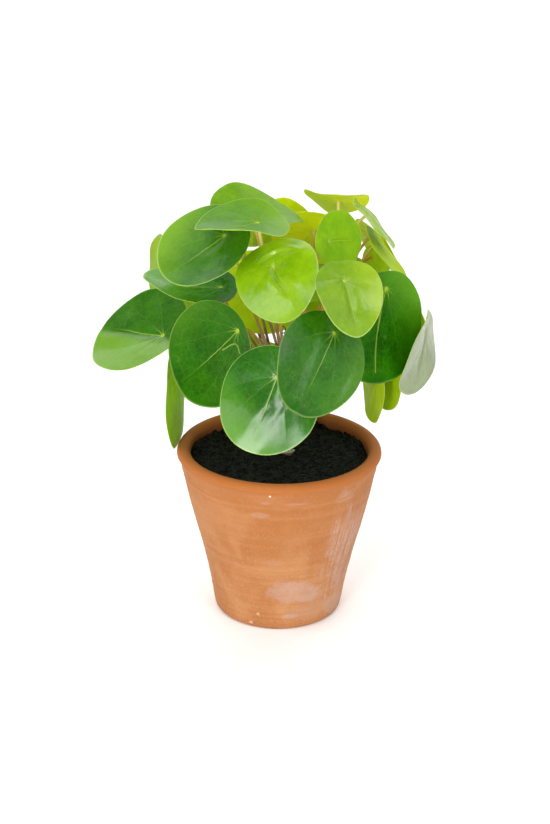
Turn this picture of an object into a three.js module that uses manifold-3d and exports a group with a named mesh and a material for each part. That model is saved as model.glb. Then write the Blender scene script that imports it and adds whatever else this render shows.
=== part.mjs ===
// A potted pilea (Pilea peperomioides) in a plain terracotta pot.
// Millimetres, +Z up. The origin is the centre of the pot's flat base.
//
// The pot and the soil are turned bodies. The leaf stalks all grow from one
// short trunk, so trunk and stalks are one fused body. Every leaf blade is a
// thin waved shell of its own, carried by the end of its stalk.
import * as THREE from 'three';
import { mergeVertices } from 'three/addons/utils/BufferGeometryUtils.js';
import Module from 'manifold-3d';

const wasm = await Module();
wasm.setup();

// Clearance between pieces that touch on the real plant
const GAP = 0.3;

// Pot
const POT_HEIGHT = 112.5;
const POT_RIM_RADIUS = 65.5;
const POT_BASE_RADIUS = 41.6;
const POT_BASE_FILLET = 3.5;
const POT_WALL_LEAN = 12;
const POT_NECK_RADIUS = 61.6;
const POT_BAND_HEIGHT = 16;
const POT_BAND_STEP = 1;
const POT_BAND_SLOPE = 2;
const POT_MOUTH_RADIUS = 57;
const POT_WELL_RADIUS = 37.5;
const POT_WELL_FILLET = 4;
const POT_FLOOR = 7;
const POT_SIDES = 48;

// Soil
const SOIL_LEVEL = 104.5;
const SOIL_RELIEF = 1.2;
const SOIL_RINGS = 9;

// Trunk
const TRUNK_FOOT = [5, 6];
const TRUNK_TOP = [3, 3];
const TRUNK_BOTTOM_Z = 84;
const TRUNK_TOP_Z = 158;
const TRUNK_RADIUS = 4.2;
const TRUNK_TAPER = 0.7;
const TRUNK_SIDES = 12;
const TRUNK_STEPS = 4;

// Leaf stalks: low leaves grow from low on the trunk and high ones from its
// top. A stalk first leans outward by its spread and rises by its climb, both
// shares of its length, and comes to the blade along its last stretch.
const STALK_RADIUS = 1.15;
const STALK_SIDES = 5;
const STALK_STEPS = 8;
const STALK_LOWEST_Z = 126;
const STALK_HIGHEST_Z = 156;
const HUB_LOW_Z = 150;
const HUB_HIGH_Z = 260;
const STALK_SPREAD = 0.22;
const STALK_CLIMB = 0.3;
const STALK_LAST = 16;
const STALK_LAST_SHARE = 0.25;

// Dry pale scale at the trunk's foot
const SCALE_ARC = 150;
const SCALE_HEIGHT = 3.4;
const SCALE_FLARE = 0.8;
const SCALE_THICKNESS = 0.8;
const SCALE_STEPS = 8;

// Leaf blades
const BLADE_THICKNESS = 0.9;
const BLADE_SIDES = 20;
const BLADE_RINGS = [0.36, 0.7, 1];
const MARGIN_WAVE = 0.5;
const MARGIN_WAVES = 5;

// Each leaf: hub is where the stalk meets the blade. face is the azimuth and
// elevation of the upper side in degrees, with azimuth 0 at +X. turn swings the
// tip round the hub, away from straight down. size is length and width, and
// back is the share of the length that lies behind the hub. cup raises the
// whole margin, droop lowers the tip, fold raises the two halves beside the
// midrib, twist winds the blade, and egg narrows the half at the tip. Where
// a stalk has to pass another leaf, near is the place of its last control
// point from its end, and bend moves its first one.
const LEAVES = [
  { name: 'leaf_top_left_back', hub: [-22, 6, 271.3], face: [-52, 64], turn: 0, size: [59, 56],
    back: 0.3, droop: -8, fold: [-5, -4] },
  { name: 'leaf_top_left_front', hub: [-14, -44, 273], face: [-90, 82], turn: -55, size: [56, 53],
    back: 0.3, droop: -2, fold: [1, 6], twist: 9, near: [1, 5, -9], bend: [0, 45, 15] },
  { name: 'leaf_upper_left', hub: [-33.7, -37, 262.7], face: [-123, 46], turn: -30, size: [59.5, 56],
    back: 0.27, cup: 3, fold: [2.5, 2.5] },
  { name: 'leaf_far_left_pale', hub: [-78.2, 57, 220.8], face: [-160, 6], turn: 6, size: [44, 42],
    back: 0.3, cup: 1, near: [16, -10, 3], bend: [-4, -14, 14] },
  { name: 'leaf_left_shaded', hub: [-36.6, 3.5, 217.2], face: [-101, 75], turn: -70, size: [58, 52],
    back: 0.17, cup: 2, droop: -3, fold: [0, 2.5], twist: 5 },
  { name: 'leaf_left_wide', hub: [-73.6, 0, 186], face: [-144, 53], turn: -74, size: [69, 68],
    back: 0.23, egg: -0.06, cup: 1, fold: [4, 2] },
  { name: 'leaf_left_centre', hub: [-25.7, -48, 207], face: [-138, -2], turn: -44, size: [70, 64],
    back: 0.12, egg: 0.03, cup: 3, droop: -1.5, fold: [2, 2] },
  { name: 'leaf_front_low', hub: [-2, -72, 187], face: [-113, 15], turn: -14, size: [65, 62],
    back: 0.27, droop: -2, fold: [-1, -1] },
  { name: 'leaf_front_right', hub: [31, -74, 216], face: [-55, 35], turn: -43, size: [64, 54],
    back: 0.17, egg: 0.1, cup: -1.5, droop: 3 },
  { name: 'leaf_centre_bright', hub: [-5, -46, 247], face: [-119, 47], turn: 44, size: [55, 51],
    back: 0.31, egg: 0.07, droop: 2.5, fold: [2, 2], twist: 5 },
  { name: 'leaf_right_pale', hub: [36, -68, 246], face: [-69, 52], turn: 3, size: [45, 40],
    back: 0.28, egg: 0.11, droop: 6, fold: [4, 2] },
  { name: 'leaf_right_small', hub: [28, -40, 260], face: [-50, 13], turn: 83, size: [36, 36],
    back: 0.3 },
  { name: 'leaf_top_right', hub: [35, 22, 268], face: [81, 64], turn: 18, size: [44, 41],
    back: 0.32, cup: 1, droop: 2.5, fold: [3, 3], twist: 4, near: [-1, -20, -10], bend: [6, -26, 0] },
  { name: 'leaf_back_centre', hub: [20.2, 27, 247.8], face: [85, 40], turn: 0, size: [58, 56],
    back: 0.32, fold: [1.5, 1] },
  { name: 'leaf_back_top', hub: [3, 58.5, 246], face: [60, 5], turn: -8, size: [43, 41],
    back: 0.31, bend: [8, 45, -42] },
  { name: 'leaf_right_top', hub: [52, 1, 265], face: [0, 46], turn: 0, size: [44, 42],
    back: 0.32, droop: 1.5, near: [-12, 0, -7], bend: [-4, 0, 8] },
  { name: 'leaf_right_upper', hub: [59, 2, 246.5], face: [-2, 38], turn: 4, size: [46, 45],
    back: 0.27 },
  { name: 'leaf_right_upper_back', hub: [57, 42, 239], face: [30, 32], turn: 0, size: [42, 40],
    back: 0.32 },
  { name: 'leaf_right_inner', hub: [57, 14, 234], face: [25, 3], turn: -20, size: [44, 42],
    back: 0.18 },
  { name: 'leaf_right_wide', hub: [63.5, -30, 228.5], face: [-54, -3], turn: -15, size: [69, 71],
    back: 0.16, cup: 2.5, droop: -1.5, fold: [-4.5, 1.5], twist: 3 },
  { name: 'leaf_far_right', hub: [89.7, -11, 194.3], face: [-16, -2], turn: -24, size: [54, 54],
    back: 0.25, droop: 3, fold: [2, 1], twist: 5 },
  { name: 'leaf_far_right_back', hub: [86, 32, 177], face: [22, 0], turn: 10, size: [56, 53],
    back: 0.33, near: [-10, -4, 17], bend: [0, 0, 32] },
  { name: 'leaf_low_right', hub: [62.8, 12, 155.3], face: [13, -4], turn: 38, size: [48, 48],
    back: 0.25 },
  { name: 'leaf_low_right_back', hub: [69, 20, 163], face: [22, 1], turn: 33, size: [56, 53],
    back: 0.34, near: [-2, -1, 22], bend: [9, 0, 34] },
  { name: 'leaf_low_left', hub: [-66.8, 21, 152.8], face: [172, -2], turn: 21, size: [68, 62],
    back: 0.28 },
  { name: 'leaf_back_low', hub: [-13, 30, 213], face: [75, 12], turn: 10, size: [62, 60],
    back: 0.34, fold: [2, 0.5] },
  { name: 'leaf_rear_top_left', hub: [-40, 50, 245], face: [130, 52], turn: 10, size: [46, 43],
    back: 0.3, droop: 2, near: [4, -20, 0], bend: [5, -15, 35] },
  { name: 'leaf_rear_left', hub: [-50, 60, 196], face: [135, 28], turn: 20, size: [50, 48],
    back: 0.3, fold: [2, 2], bend: [0, 5, -20] },
  { name: 'leaf_rear_mid_left', hub: [-29, 77, 205], face: [110, 30], turn: -10, size: [51, 48],
    back: 0.3, droop: 3, bend: [0, 15, -30] },
  { name: 'leaf_rear_centre', hub: [17, 84, 196], face: [85, 25], turn: 5, size: [49, 46],
    back: 0.3, fold: [3, 2], bend: [0, 10, -25] },
  { name: 'leaf_rear_mid_right', hub: [38, 62, 212], face: [66, 32], turn: -15, size: [52, 49],
    back: 0.3, cup: 2, bend: [0, 10, -25] },
  { name: 'leaf_rear_right', hub: [60, 50, 192], face: [38, 20], turn: 10, size: [50, 47],
    back: 0.3, fold: [2, 3] },
  { name: 'leaf_rear_low_centre', hub: [-14, 78, 140], face: [100, 8], turn: 8, size: [54, 51],
    back: 0.28, fold: [2, 2] },
  { name: 'leaf_rear_low_right', hub: [30, 72, 170], face: [70, 8], turn: -12, size: [58, 55],
    back: 0.28, twist: 3 },
  { name: 'leaf_rear_low_left', hub: [-34, 58, 158], face: [122, 8], turn: 10, size: [54, 51],
    back: 0.28, droop: 2 },
  { name: 'leaf_rear_top', hub: [-18, 46, 243], face: [98, 40], turn: -5, size: [34, 32],
    back: 0.3, fold: [2, 2], near: [2, -18, 5], bend: [0, -18, 50] },
];

// Leaves that the light shines through, or that are still young, look yellower
const BRIGHT_LEAVES = [
  'leaf_centre_bright',
  'leaf_right_pale',
  'leaf_right_small',
  'leaf_top_right',
  'leaf_back_centre',
  'leaf_back_top',
  'leaf_right_upper_back',
  'leaf_far_left_pale',
  'leaf_low_left',
  'leaf_low_right',
  'leaf_low_right_back',
];

const TERRACOTTA = { color: 0xcd8457, roughness: 0.85, metalness: 0 };
const PEAT = { color: 0x1d1b18, roughness: 1, metalness: 0 };
const STALK_BROWN = { color: 0x8a6b3c, roughness: 0.55, metalness: 0 };
const PALE_SCALE = { color: 0xc9c6b4, roughness: 0.5, metalness: 0 };
const LEAF_GREEN = { color: 0x3f8f1f, roughness: 0.35, metalness: 0 };
const LEAF_BRIGHT = { color: 0x86bd22, roughness: 0.35, metalness: 0 };

const radians = THREE.MathUtils.degToRad;

function piece(name, geometry, look) {
  const mesh = new THREE.Mesh(geometry, new THREE.MeshStandardMaterial(look));
  mesh.name = name;
  return mesh;
}

// Closed geometry to a manifold solid, and back
function toSolid(geometry) {
  const bare = geometry.clone();
  bare.deleteAttribute('normal');
  bare.deleteAttribute('uv');
  const merged = mergeVertices(bare, 1e-4);
  const mesh = new wasm.Mesh({
    numProp: 3,
    vertProperties: new Float32Array(merged.attributes.position.array),
    triVerts: new Uint32Array(merged.index.array),
  });
  return new wasm.Manifold(mesh);
}

function toGeometry(solid) {
  const mesh = solid.getMesh();
  const geometry = new THREE.BufferGeometry();
  geometry.setAttribute('position', new THREE.Float32BufferAttribute(mesh.vertProperties, 3));
  geometry.setIndex(Array.from(mesh.triVerts));
  geometry.computeVertexNormals();
  return geometry;
}

// A profile of [radius, height] points turned about Z
function turned(profile, sides) {
  const points = profile.map(([radius, height]) => new THREE.Vector2(radius, height));
  return new THREE.LatheGeometry(points, sides).rotateX(Math.PI / 2);
}

// Points on a quarter circle, from one angle to the other, in degrees
function arc(centre, radius, from, to, steps) {
  return Array.from({ length: steps + 1 }, (_, i) => {
    const angle = radians(from + (to - from) * i / steps);
    return [centre[0] + radius * Math.cos(angle), centre[1] + radius * Math.sin(angle)];
  });
}

// Radius of the pot's inner wall at a height, up to the soil's level
function innerRadius(height) {
  const t = (height - POT_FLOOR) / (SOIL_LEVEL - POT_FLOOR);
  return THREE.MathUtils.lerp(POT_WELL_RADIUS, POT_MOUTH_RADIUS, t);
}

function makePot() {
  const band = POT_HEIGHT - POT_BAND_HEIGHT;
  const lip = (POT_RIM_RADIUS - POT_MOUTH_RADIUS) / 2;
  const lipCentre = [POT_MOUTH_RADIUS + lip, POT_HEIGHT - lip];
  const footCentre = [POT_BASE_RADIUS - POT_BASE_FILLET, POT_BASE_FILLET];
  const well = POT_FLOOR + POT_WELL_FILLET;
  const profile = [
    [0, 0],
    ...arc(footCentre, POT_BASE_FILLET, -90, -POT_WALL_LEAN, 4),
    [POT_NECK_RADIUS, band],
    [POT_NECK_RADIUS + POT_BAND_STEP, band + POT_BAND_SLOPE],
    ...arc(lipCentre, lip, 0, 180, 8),
    [POT_MOUTH_RADIUS, SOIL_LEVEL],
    [innerRadius(well), well],
    [POT_WELL_RADIUS - POT_WELL_FILLET, POT_FLOOR],
    [0, POT_FLOOR],
  ];
  return piece('pot', turned(profile, POT_SIDES), TERRACOTTA);
}

// Crumbs and hollows of the soil's surface
function soilRelief(x, y) {
  const crumbs = Math.sin(x * 0.55 + 1.3) * Math.cos(y * 0.61 - 0.4);
  const heaps = Math.sin(x * 0.13 - y * 0.17 + 0.8);
  const grit = Math.sin(x * 1.7 + y * 0.9) * Math.sin(y * 1.9 - x * 0.7);
  return SOIL_RELIEF * (0.4 * crumbs + 0.35 * heaps + 0.25 * grit);
}

function makeSoil() {
  const top = innerRadius(SOIL_LEVEL - SOIL_RELIEF) - GAP;
  const bottom = POT_FLOOR + GAP;
  const well = POT_FLOOR + POT_WELL_FILLET + GAP;
  const rings = Array.from({ length: SOIL_RINGS }, (_, i) => [top * i / SOIL_RINGS, SOIL_LEVEL]);
  const profile = [
    [0, bottom],
    [POT_WELL_RADIUS - POT_WELL_FILLET - GAP, bottom],
    [innerRadius(well) - GAP, well],
    [top, SOIL_LEVEL - SOIL_RELIEF],
    ...rings.reverse(),
  ];
  const geometry = turned(profile, POT_SIDES);
  const position = geometry.attributes.position;
  for (let i = 0; i < position.count; i += 1) {
    if (position.getZ(i) > SOIL_LEVEL - SOIL_RELIEF / 2) {
      position.setZ(i, SOIL_LEVEL + soilRelief(position.getX(i), position.getY(i)));
    }
  }
  const hole = new THREE.CylinderGeometry(
    TRUNK_RADIUS + GAP,
    TRUNK_RADIUS + GAP,
    TRUNK_TOP_Z - TRUNK_BOTTOM_Z,
    TRUNK_SIDES,
  );
  hole.rotateX(Math.PI / 2);
  hole.translate(TRUNK_FOOT[0], TRUNK_FOOT[1], (TRUNK_TOP_Z + TRUNK_BOTTOM_Z) / 2 - GAP);
  return piece('soil', toGeometry(toSolid(geometry).subtract(toSolid(hole))), PEAT);
}

function direction([azimuth, elevation]) {
  const a = radians(azimuth);
  const e = radians(elevation);
  return new THREE.Vector3(Math.cos(a) * Math.cos(e), Math.sin(a) * Math.cos(e), Math.sin(e));
}

// Hub, and the directions of tip, side and upper face
function leafFrame(leaf) {
  const up = direction(leaf.face);
  const down = new THREE.Vector3(0, 0, -1).addScaledVector(up, up.z).normalize();
  const side = new THREE.Vector3().crossVectors(up, down);
  const turn = radians(leaf.turn);
  const tip = down.multiplyScalar(Math.cos(turn)).addScaledVector(side, Math.sin(turn));
  return { hub: new THREE.Vector3(...leaf.hub), tip, side: new THREE.Vector3().crossVectors(up, tip), up };
}

// Height of the upper face over the hub's plane
function bladeHeight(leaf, along, across, reach, angle) {
  const { cup = 0, droop = 0, fold = [0, 0], twist = 0 } = leaf;
  const u = along / (leaf.size[0] / 2);
  const v = across / (leaf.size[1] / 2);
  const lift = (v > 0 ? fold[0] : fold[1]) * (Math.sqrt(v * v + 0.0025) - 0.05);
  const wave = MARGIN_WAVE * Math.sin(MARGIN_WAVES * angle + leaf.turn) * reach ** 3;
  return cup * (u * u + v * v) + lift - droop * Math.max(u, 0) ** 2 + twist * u * v + wave;
}

// Point of the blade: reach runs from 0 at the hub to 1 at the margin
function bladePoint(leaf, frame, reach, angle, depth) {
  const { egg = 0, back } = leaf;
  const half = leaf.size[0] / 2;
  const along = reach * (half * (1 - 2 * back) + half * Math.cos(angle));
  const across = reach * leaf.size[1] / 2 * Math.sin(angle) * (1 - egg * Math.cos(angle));
  return frame.hub.clone()
    .addScaledVector(frame.tip, along)
    .addScaledVector(frame.side, across)
    .addScaledVector(frame.up, bladeHeight(leaf, along, across, reach, angle) - depth);
}

// Upper and lower faces share one layout of triangles, joined at the margin
function makeBlade(leaf) {
  const frame = leafFrame(leaf);
  const corners = [];
  const addFace = (depth) => {
    corners.push(...bladePoint(leaf, frame, 0, 0, depth).toArray());
    for (const reach of BLADE_RINGS) {
      for (let i = 0; i < BLADE_SIDES; i += 1) {
        const angle = 2 * Math.PI * i / BLADE_SIDES;
        corners.push(...bladePoint(leaf, frame, reach, angle, depth).toArray());
      }
    }
  };
  addFace(0);
  addFace(BLADE_THICKNESS);

  const layer = 1 + BLADE_RINGS.length * BLADE_SIDES;
  const triangles = [];
  const addTriangle = (a, b, c) => {
    triangles.push(a, b, c);
    triangles.push(a + layer, c + layer, b + layer);
  };
  const at = (ring, i) => 1 + ring * BLADE_SIDES + i % BLADE_SIDES;
  const last = BLADE_RINGS.length - 1;
  for (let i = 0; i < BLADE_SIDES; i += 1) {
    addTriangle(0, at(0, i), at(0, i + 1));
    for (let ring = 0; ring < last; ring += 1) {
      addTriangle(at(ring, i), at(ring + 1, i), at(ring + 1, i + 1));
      addTriangle(at(ring, i), at(ring + 1, i + 1), at(ring, i + 1));
    }
    triangles.push(at(last, i), at(last, i) + layer, at(last, i + 1) + layer);
    triangles.push(at(last, i), at(last, i + 1) + layer, at(last, i + 1));
  }
  const geometry = new THREE.BufferGeometry();
  geometry.setAttribute('position', new THREE.Float32BufferAttribute(corners, 3));
  geometry.setIndex(triangles);
  geometry.computeVertexNormals();
  return piece(leaf.name, geometry, BRIGHT_LEAVES.includes(leaf.name) ? LEAF_BRIGHT : LEAF_GREEN);
}

// Share of the trunk's free height at a height, from 0 at the soil to 1
function aboveSoil(z) {
  return THREE.MathUtils.clamp((z - SOIL_LEVEL) / (TRUNK_TOP_Z - SOIL_LEVEL), 0, 1);
}

// Centre line of the trunk at a height
function trunkAxis(z) {
  const lean = aboveSoil(z);
  return new THREE.Vector3(
    THREE.MathUtils.lerp(TRUNK_FOOT[0], TRUNK_TOP[0], lean),
    THREE.MathUtils.lerp(TRUNK_FOOT[1], TRUNK_TOP[1], lean),
    z,
  );
}

function makeTrunk() {
  const geometry = new THREE.CylinderGeometry(1, 1, 1, TRUNK_SIDES, TRUNK_STEPS);
  geometry.rotateX(Math.PI / 2);
  const position = geometry.attributes.position;
  for (let i = 0; i < position.count; i += 1) {
    const z = THREE.MathUtils.lerp(TRUNK_BOTTOM_Z, TRUNK_TOP_Z, position.getZ(i) + 0.5);
    const axis = trunkAxis(z);
    const radius = TRUNK_RADIUS * THREE.MathUtils.lerp(1, TRUNK_TAPER, aboveSoil(z));
    position.setXYZ(i, axis.x + radius * position.getX(i), axis.y + radius * position.getY(i), z);
  }
  return geometry;
}

// A stalk rises out of the trunk, arches outward and meets the blade square on
function stalkCurve(leaf) {
  const frame = leafFrame(leaf);
  const rise = THREE.MathUtils.clamp((leaf.hub[2] - HUB_LOW_Z) / (HUB_HIGH_Z - HUB_LOW_Z), 0, 1);
  const root = trunkAxis(THREE.MathUtils.lerp(STALK_LOWEST_Z, STALK_HIGHEST_Z, rise));
  const reach = frame.hub.distanceTo(root);
  const under = leaf.near
    ? new THREE.Vector3(...leaf.near)
    : frame.up.clone().multiplyScalar(-Math.min(STALK_LAST, reach * STALK_LAST_SHARE));
  // A stalk that comes in slanting ends a little lower, so that its edge clears the blade.
  const slant = under.angleTo(frame.up.clone().negate());
  const drop = BLADE_THICKNESS + GAP + STALK_RADIUS * Math.sin(slant);
  const end = frame.hub.clone().addScaledVector(frame.up, -drop);
  const out = end.clone().sub(root).setZ(0).normalize();
  const start = root.clone()
    .addScaledVector(out, reach * STALK_SPREAD)
    .add(new THREE.Vector3(0, 0, reach * STALK_CLIMB))
    .add(new THREE.Vector3(...(leaf.bend ?? [0, 0, 0])));
  return new THREE.CubicBezierCurve3(root, start, end.clone().add(under), end);
}

function makeStalk(leaf) {
  const section = new THREE.Shape();
  for (let i = 0; i < STALK_SIDES; i += 1) {
    const angle = 2 * Math.PI * i / STALK_SIDES;
    section[i ? 'lineTo' : 'moveTo'](STALK_RADIUS * Math.cos(angle), STALK_RADIUS * Math.sin(angle));
  }
  return new THREE.ExtrudeGeometry(section, {
    steps: STALK_STEPS,
    extrudePath: stalkCurve(leaf),
    bevelEnabled: false,
  });
}

function makeStems() {
  let solid = toSolid(makeTrunk());
  for (const leaf of LEAVES) solid = solid.add(toSolid(makeStalk(leaf)));
  return piece('trunk_and_stalks', toGeometry(solid), STALK_BROWN);
}

// The scale stands on the soil and curls round the front of the trunk's foot.
// It is highest in the middle and flares a little outward at its top.
function makeScale() {
  const inner = TRUNK_RADIUS + GAP;
  const foot = SOIL_LEVEL + SOIL_RELIEF;
  const corners = [];
  for (let i = 0; i <= SCALE_STEPS; i += 1) {
    const t = i / SCALE_STEPS;
    const angle = radians(SCALE_ARC * (t - 0.5) - 90);
    const top = foot + SCALE_HEIGHT * (0.4 + 0.6 * Math.sin(Math.PI * t));
    const section = [
      [inner, foot],
      [inner + SCALE_THICKNESS, foot],
      [inner + SCALE_THICKNESS + SCALE_FLARE, top],
      [inner + SCALE_FLARE, top],
    ];
    for (const [radius, z] of section) {
      corners.push(TRUNK_FOOT[0] + radius * Math.cos(angle), TRUNK_FOOT[1] + radius * Math.sin(angle), z);
    }
  }
  const triangles = [0, 1, 2, 0, 2, 3];
  for (let i = 0; i < SCALE_STEPS; i += 1) {
    for (let side = 0; side < 4; side += 1) {
      const a = 4 * i + side;
      const b = 4 * i + (side + 1) % 4;
      triangles.push(a, a + 4, b, b, a + 4, b + 4);
    }
  }
  const end = 4 * SCALE_STEPS;
  triangles.push(end, end + 2, end + 1, end, end + 3, end + 2);
  const geometry = new THREE.BufferGeometry();
  geometry.setAttribute('position', new THREE.Float32BufferAttribute(corners, 3));
  geometry.setIndex(triangles);
  geometry.computeVertexNormals();
  return piece('pale_scale', geometry, PALE_SCALE);
}

const plant = new THREE.Group();
plant.add(makePot(), makeSoil(), makeStems(), makeScale());
for (const leaf of LEAVES) plant.add(makeBlade(leaf));

export default plant;
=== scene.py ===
# %% [markdown]
# # A potted pilea
#
# A young pilea stands in a plain terracotta pot. Its leaves are flat coins, and
# each one sits on its own thin stalk, which meets the blade near the middle.
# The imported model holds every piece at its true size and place. This file
# dresses those pieces: the fired clay, the soil, the stalks and the blades.

import math

import bpy
import numpy as np
from mathutils import Matrix, Vector


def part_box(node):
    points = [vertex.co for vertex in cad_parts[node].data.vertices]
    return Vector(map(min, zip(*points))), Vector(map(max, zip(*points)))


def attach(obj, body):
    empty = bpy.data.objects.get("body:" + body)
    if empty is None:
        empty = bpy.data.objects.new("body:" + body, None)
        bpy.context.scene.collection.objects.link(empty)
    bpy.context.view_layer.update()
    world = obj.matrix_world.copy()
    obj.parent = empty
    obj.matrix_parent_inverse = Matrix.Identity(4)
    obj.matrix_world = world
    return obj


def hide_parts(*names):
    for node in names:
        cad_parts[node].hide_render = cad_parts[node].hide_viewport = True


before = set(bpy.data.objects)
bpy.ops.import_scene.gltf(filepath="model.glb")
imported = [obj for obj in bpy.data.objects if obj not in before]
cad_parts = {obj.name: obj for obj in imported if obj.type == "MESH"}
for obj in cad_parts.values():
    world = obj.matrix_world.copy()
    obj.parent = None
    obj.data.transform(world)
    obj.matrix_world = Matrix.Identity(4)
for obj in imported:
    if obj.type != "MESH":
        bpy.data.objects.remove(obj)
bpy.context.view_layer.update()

# %% [markdown]
# ## Camera
#
# The photograph looks down on the rim from a little more than a metre away. The
# shapes of the rim's and the base's ellipses give the tilt and the distance, so
# a plain camera with no shift is enough. It leans by half a degree.

# %% Camera
MM = 0.001
CAMERA_TILT = math.radians(22.5)
CAMERA_ROLL = math.radians(0.59)
CAMERA_DISTANCE = 1.1
CAMERA_TARGET = Vector((-3.04 * MM, 0.0, 134.8 * MM))
CAMERA_LENS = 75.6

back = Vector((0.0, -math.cos(CAMERA_TILT), math.sin(CAMERA_TILT)))
level_right = Vector((1.0, 0.0, 0.0))
level_up = back.cross(level_right)
right = level_right * math.cos(CAMERA_ROLL) + level_up * math.sin(CAMERA_ROLL)
up = level_up * math.cos(CAMERA_ROLL) - level_right * math.sin(CAMERA_ROLL)
camera = bpy.data.objects.new("camera", bpy.data.cameras.new("camera"))
camera.data.lens = CAMERA_LENS
camera.matrix_world = (
    Matrix.Translation(CAMERA_TARGET + CAMERA_DISTANCE * back)
    @ Matrix((right, up, back)).transposed().to_4x4()
)
bpy.context.scene.collection.objects.link(camera)
bpy.context.scene.camera = camera
print("camera at", [round(x, 3) for x in camera.location])

# %% [markdown]
# ## Surfaces from numpy
#
# Every new piece is a grid of points worked out in one go. These helpers turn
# such a grid into faces and into a mesh object that rides on the part's body.

# %% Grid and mesh helpers
def full_turn(count):
    """Angles that go evenly once round."""
    return np.linspace(0, 2 * np.pi, count, endpoint=False)


def direction(azimuth, elevation):
    """A unit vector from two angles in degrees: azimuth -90 is the viewer's side."""
    azimuth, elevation = np.radians([azimuth, elevation])
    flat = np.cos(elevation)
    return np.array([np.cos(azimuth) * flat, np.sin(azimuth) * flat, np.sin(elevation)])


def grid_quads(rows, columns):
    """Quads of a grid whose last column joins its first.

    They face the cross product of the ways in which rows and columns grow."""
    i, j = np.meshgrid(np.arange(rows - 1), np.arange(columns), indexing="ij")
    k = (j + 1) % columns
    quads = [i * columns + j, (i + 1) * columns + j, (i + 1) * columns + k, i * columns + k]
    return np.stack(quads, -1).reshape(-1, 4)


def fan(centre, ring):
    """Triangles from one centre point to a closed ring of points."""
    return np.stack([np.full(len(ring), centre), ring, np.roll(ring, -1)], -1)


def capped(grid, first_centre, last_centre, flipped=False):
    """Points and faces of a closed grid whose first and last rows are shut by a fan each.

    The two centre points follow the points of the grid."""
    rows, columns = grid.shape[:2]
    count = rows * columns
    points = np.concatenate([grid.reshape(-1, 3), [first_centre, last_centre]])
    faces = [
        grid_quads(rows, columns),
        fan(count, np.arange(columns)),
        fan(count + 1, np.arange(count - columns, count))[:, ::-1],
    ]
    return points, [face[:, ::-1] for face in faces] if flipped else faces


def make_piece(name, points, faces, slot=None, stands_for=None, maps=None):
    """A smooth mesh object from points in millimetres and a list of face arrays.

    maps holds UV maps: for each name, one pair of values for every face corner."""
    mesh = bpy.data.meshes.new(name)
    corners = [face for block in faces for face in block.tolist()]
    mesh.from_pydata((points * MM).tolist(), [], corners)
    mesh.polygons.foreach_set("use_smooth", np.ones(len(corners), bool))
    for label, values in (maps or {}).items():
        layer = mesh.uv_layers.new(name=label)
        layer.data.foreach_set("uv", values.astype(np.float32).ravel())
    piece = bpy.data.objects.new(name, mesh)
    bpy.context.scene.collection.objects.link(piece)
    if slot:
        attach(piece, "root")
    if stands_for:
        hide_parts(stands_for)
    return piece


# %% [markdown]
# Nothing that grew or was fired is exactly round or flat. A smooth random field
# gives the small unevenness. It is worked out from whole-number corners by a
# fixed rule, so it comes out the same on each run.

# %% A smooth random field
def corner_value(ix, iy, iz, seed):
    """A number from 0 to 1 for each corner of a cubic lattice.

    Its three whole numbers are multiplied by large primes and mixed bit by bit."""
    h = (ix * 73856093) ^ (iy * 19349663) ^ (iz * 83492791) ^ (seed * 2654435761)
    h &= 0xFFFFFFFF
    h = ((h ^ (h >> 15)) * 0x2C1B3C6D) & 0xFFFFFFFF
    h = ((h ^ (h >> 12)) * 0x297A2D39) & 0xFFFFFFFF
    return (h ^ (h >> 15)) / 2**32


def field(points, cell, seed, octaves=1):
    """Smooth noise from -1 to 1 at points in millimetres, with hills about one cell wide.

    Between the corners of a lattice cube the values blend by 3t^2 - 2t^3. Each
    further octave has half the cell and half the height."""
    total = np.zeros(points.shape[:-1])
    for octave in range(octaves):
        place = points / (cell / 2**octave) + 17.31 * octave
        low = np.floor(place).astype(np.int64)
        t = place - low
        t = t * t * (3 - 2 * t)
        value = np.zeros(points.shape[:-1])
        for corner in np.ndindex(2, 2, 2):
            at = low + np.array(corner)
            weight = np.prod(np.where(corner, t, 1 - t), -1)
            value += weight * corner_value(at[..., 0], at[..., 1], at[..., 2], seed + octave)
        total += (2 * value - 1) / 2**octave
    return total


def smooth_step(x, low, high):
    """Rises from 0 at low to 1 at high by 3t^2 - 2t^3."""
    t = np.clip((x - low) / (high - low), 0, 1)
    return t * t * (3 - 2 * t)


sample = field(np.random.default_rng(1).uniform(0, 100, (1000, 3)), 10, 3)
print("field from", round(sample.min(), 2), "to", round(sample.max(), 2))

# %% [markdown]
# ## Finishes from nodes
#
# A finish is a small tree of shader nodes. The helper below adds one node for
# each call and hands back its output, so that a finish reads like a recipe.

# %% A recipe book for finishes
def linear(red, green, blue):
    """A colour of the photograph, 0 to 255 a channel, as the light values that shaders use."""
    values = np.array([red, green, blue]) / 255
    bright = ((values + 0.055) / 1.055) ** 2.4
    return (*np.where(values <= 0.04045, values / 12.92, bright).tolist(), 1.0)


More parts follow.
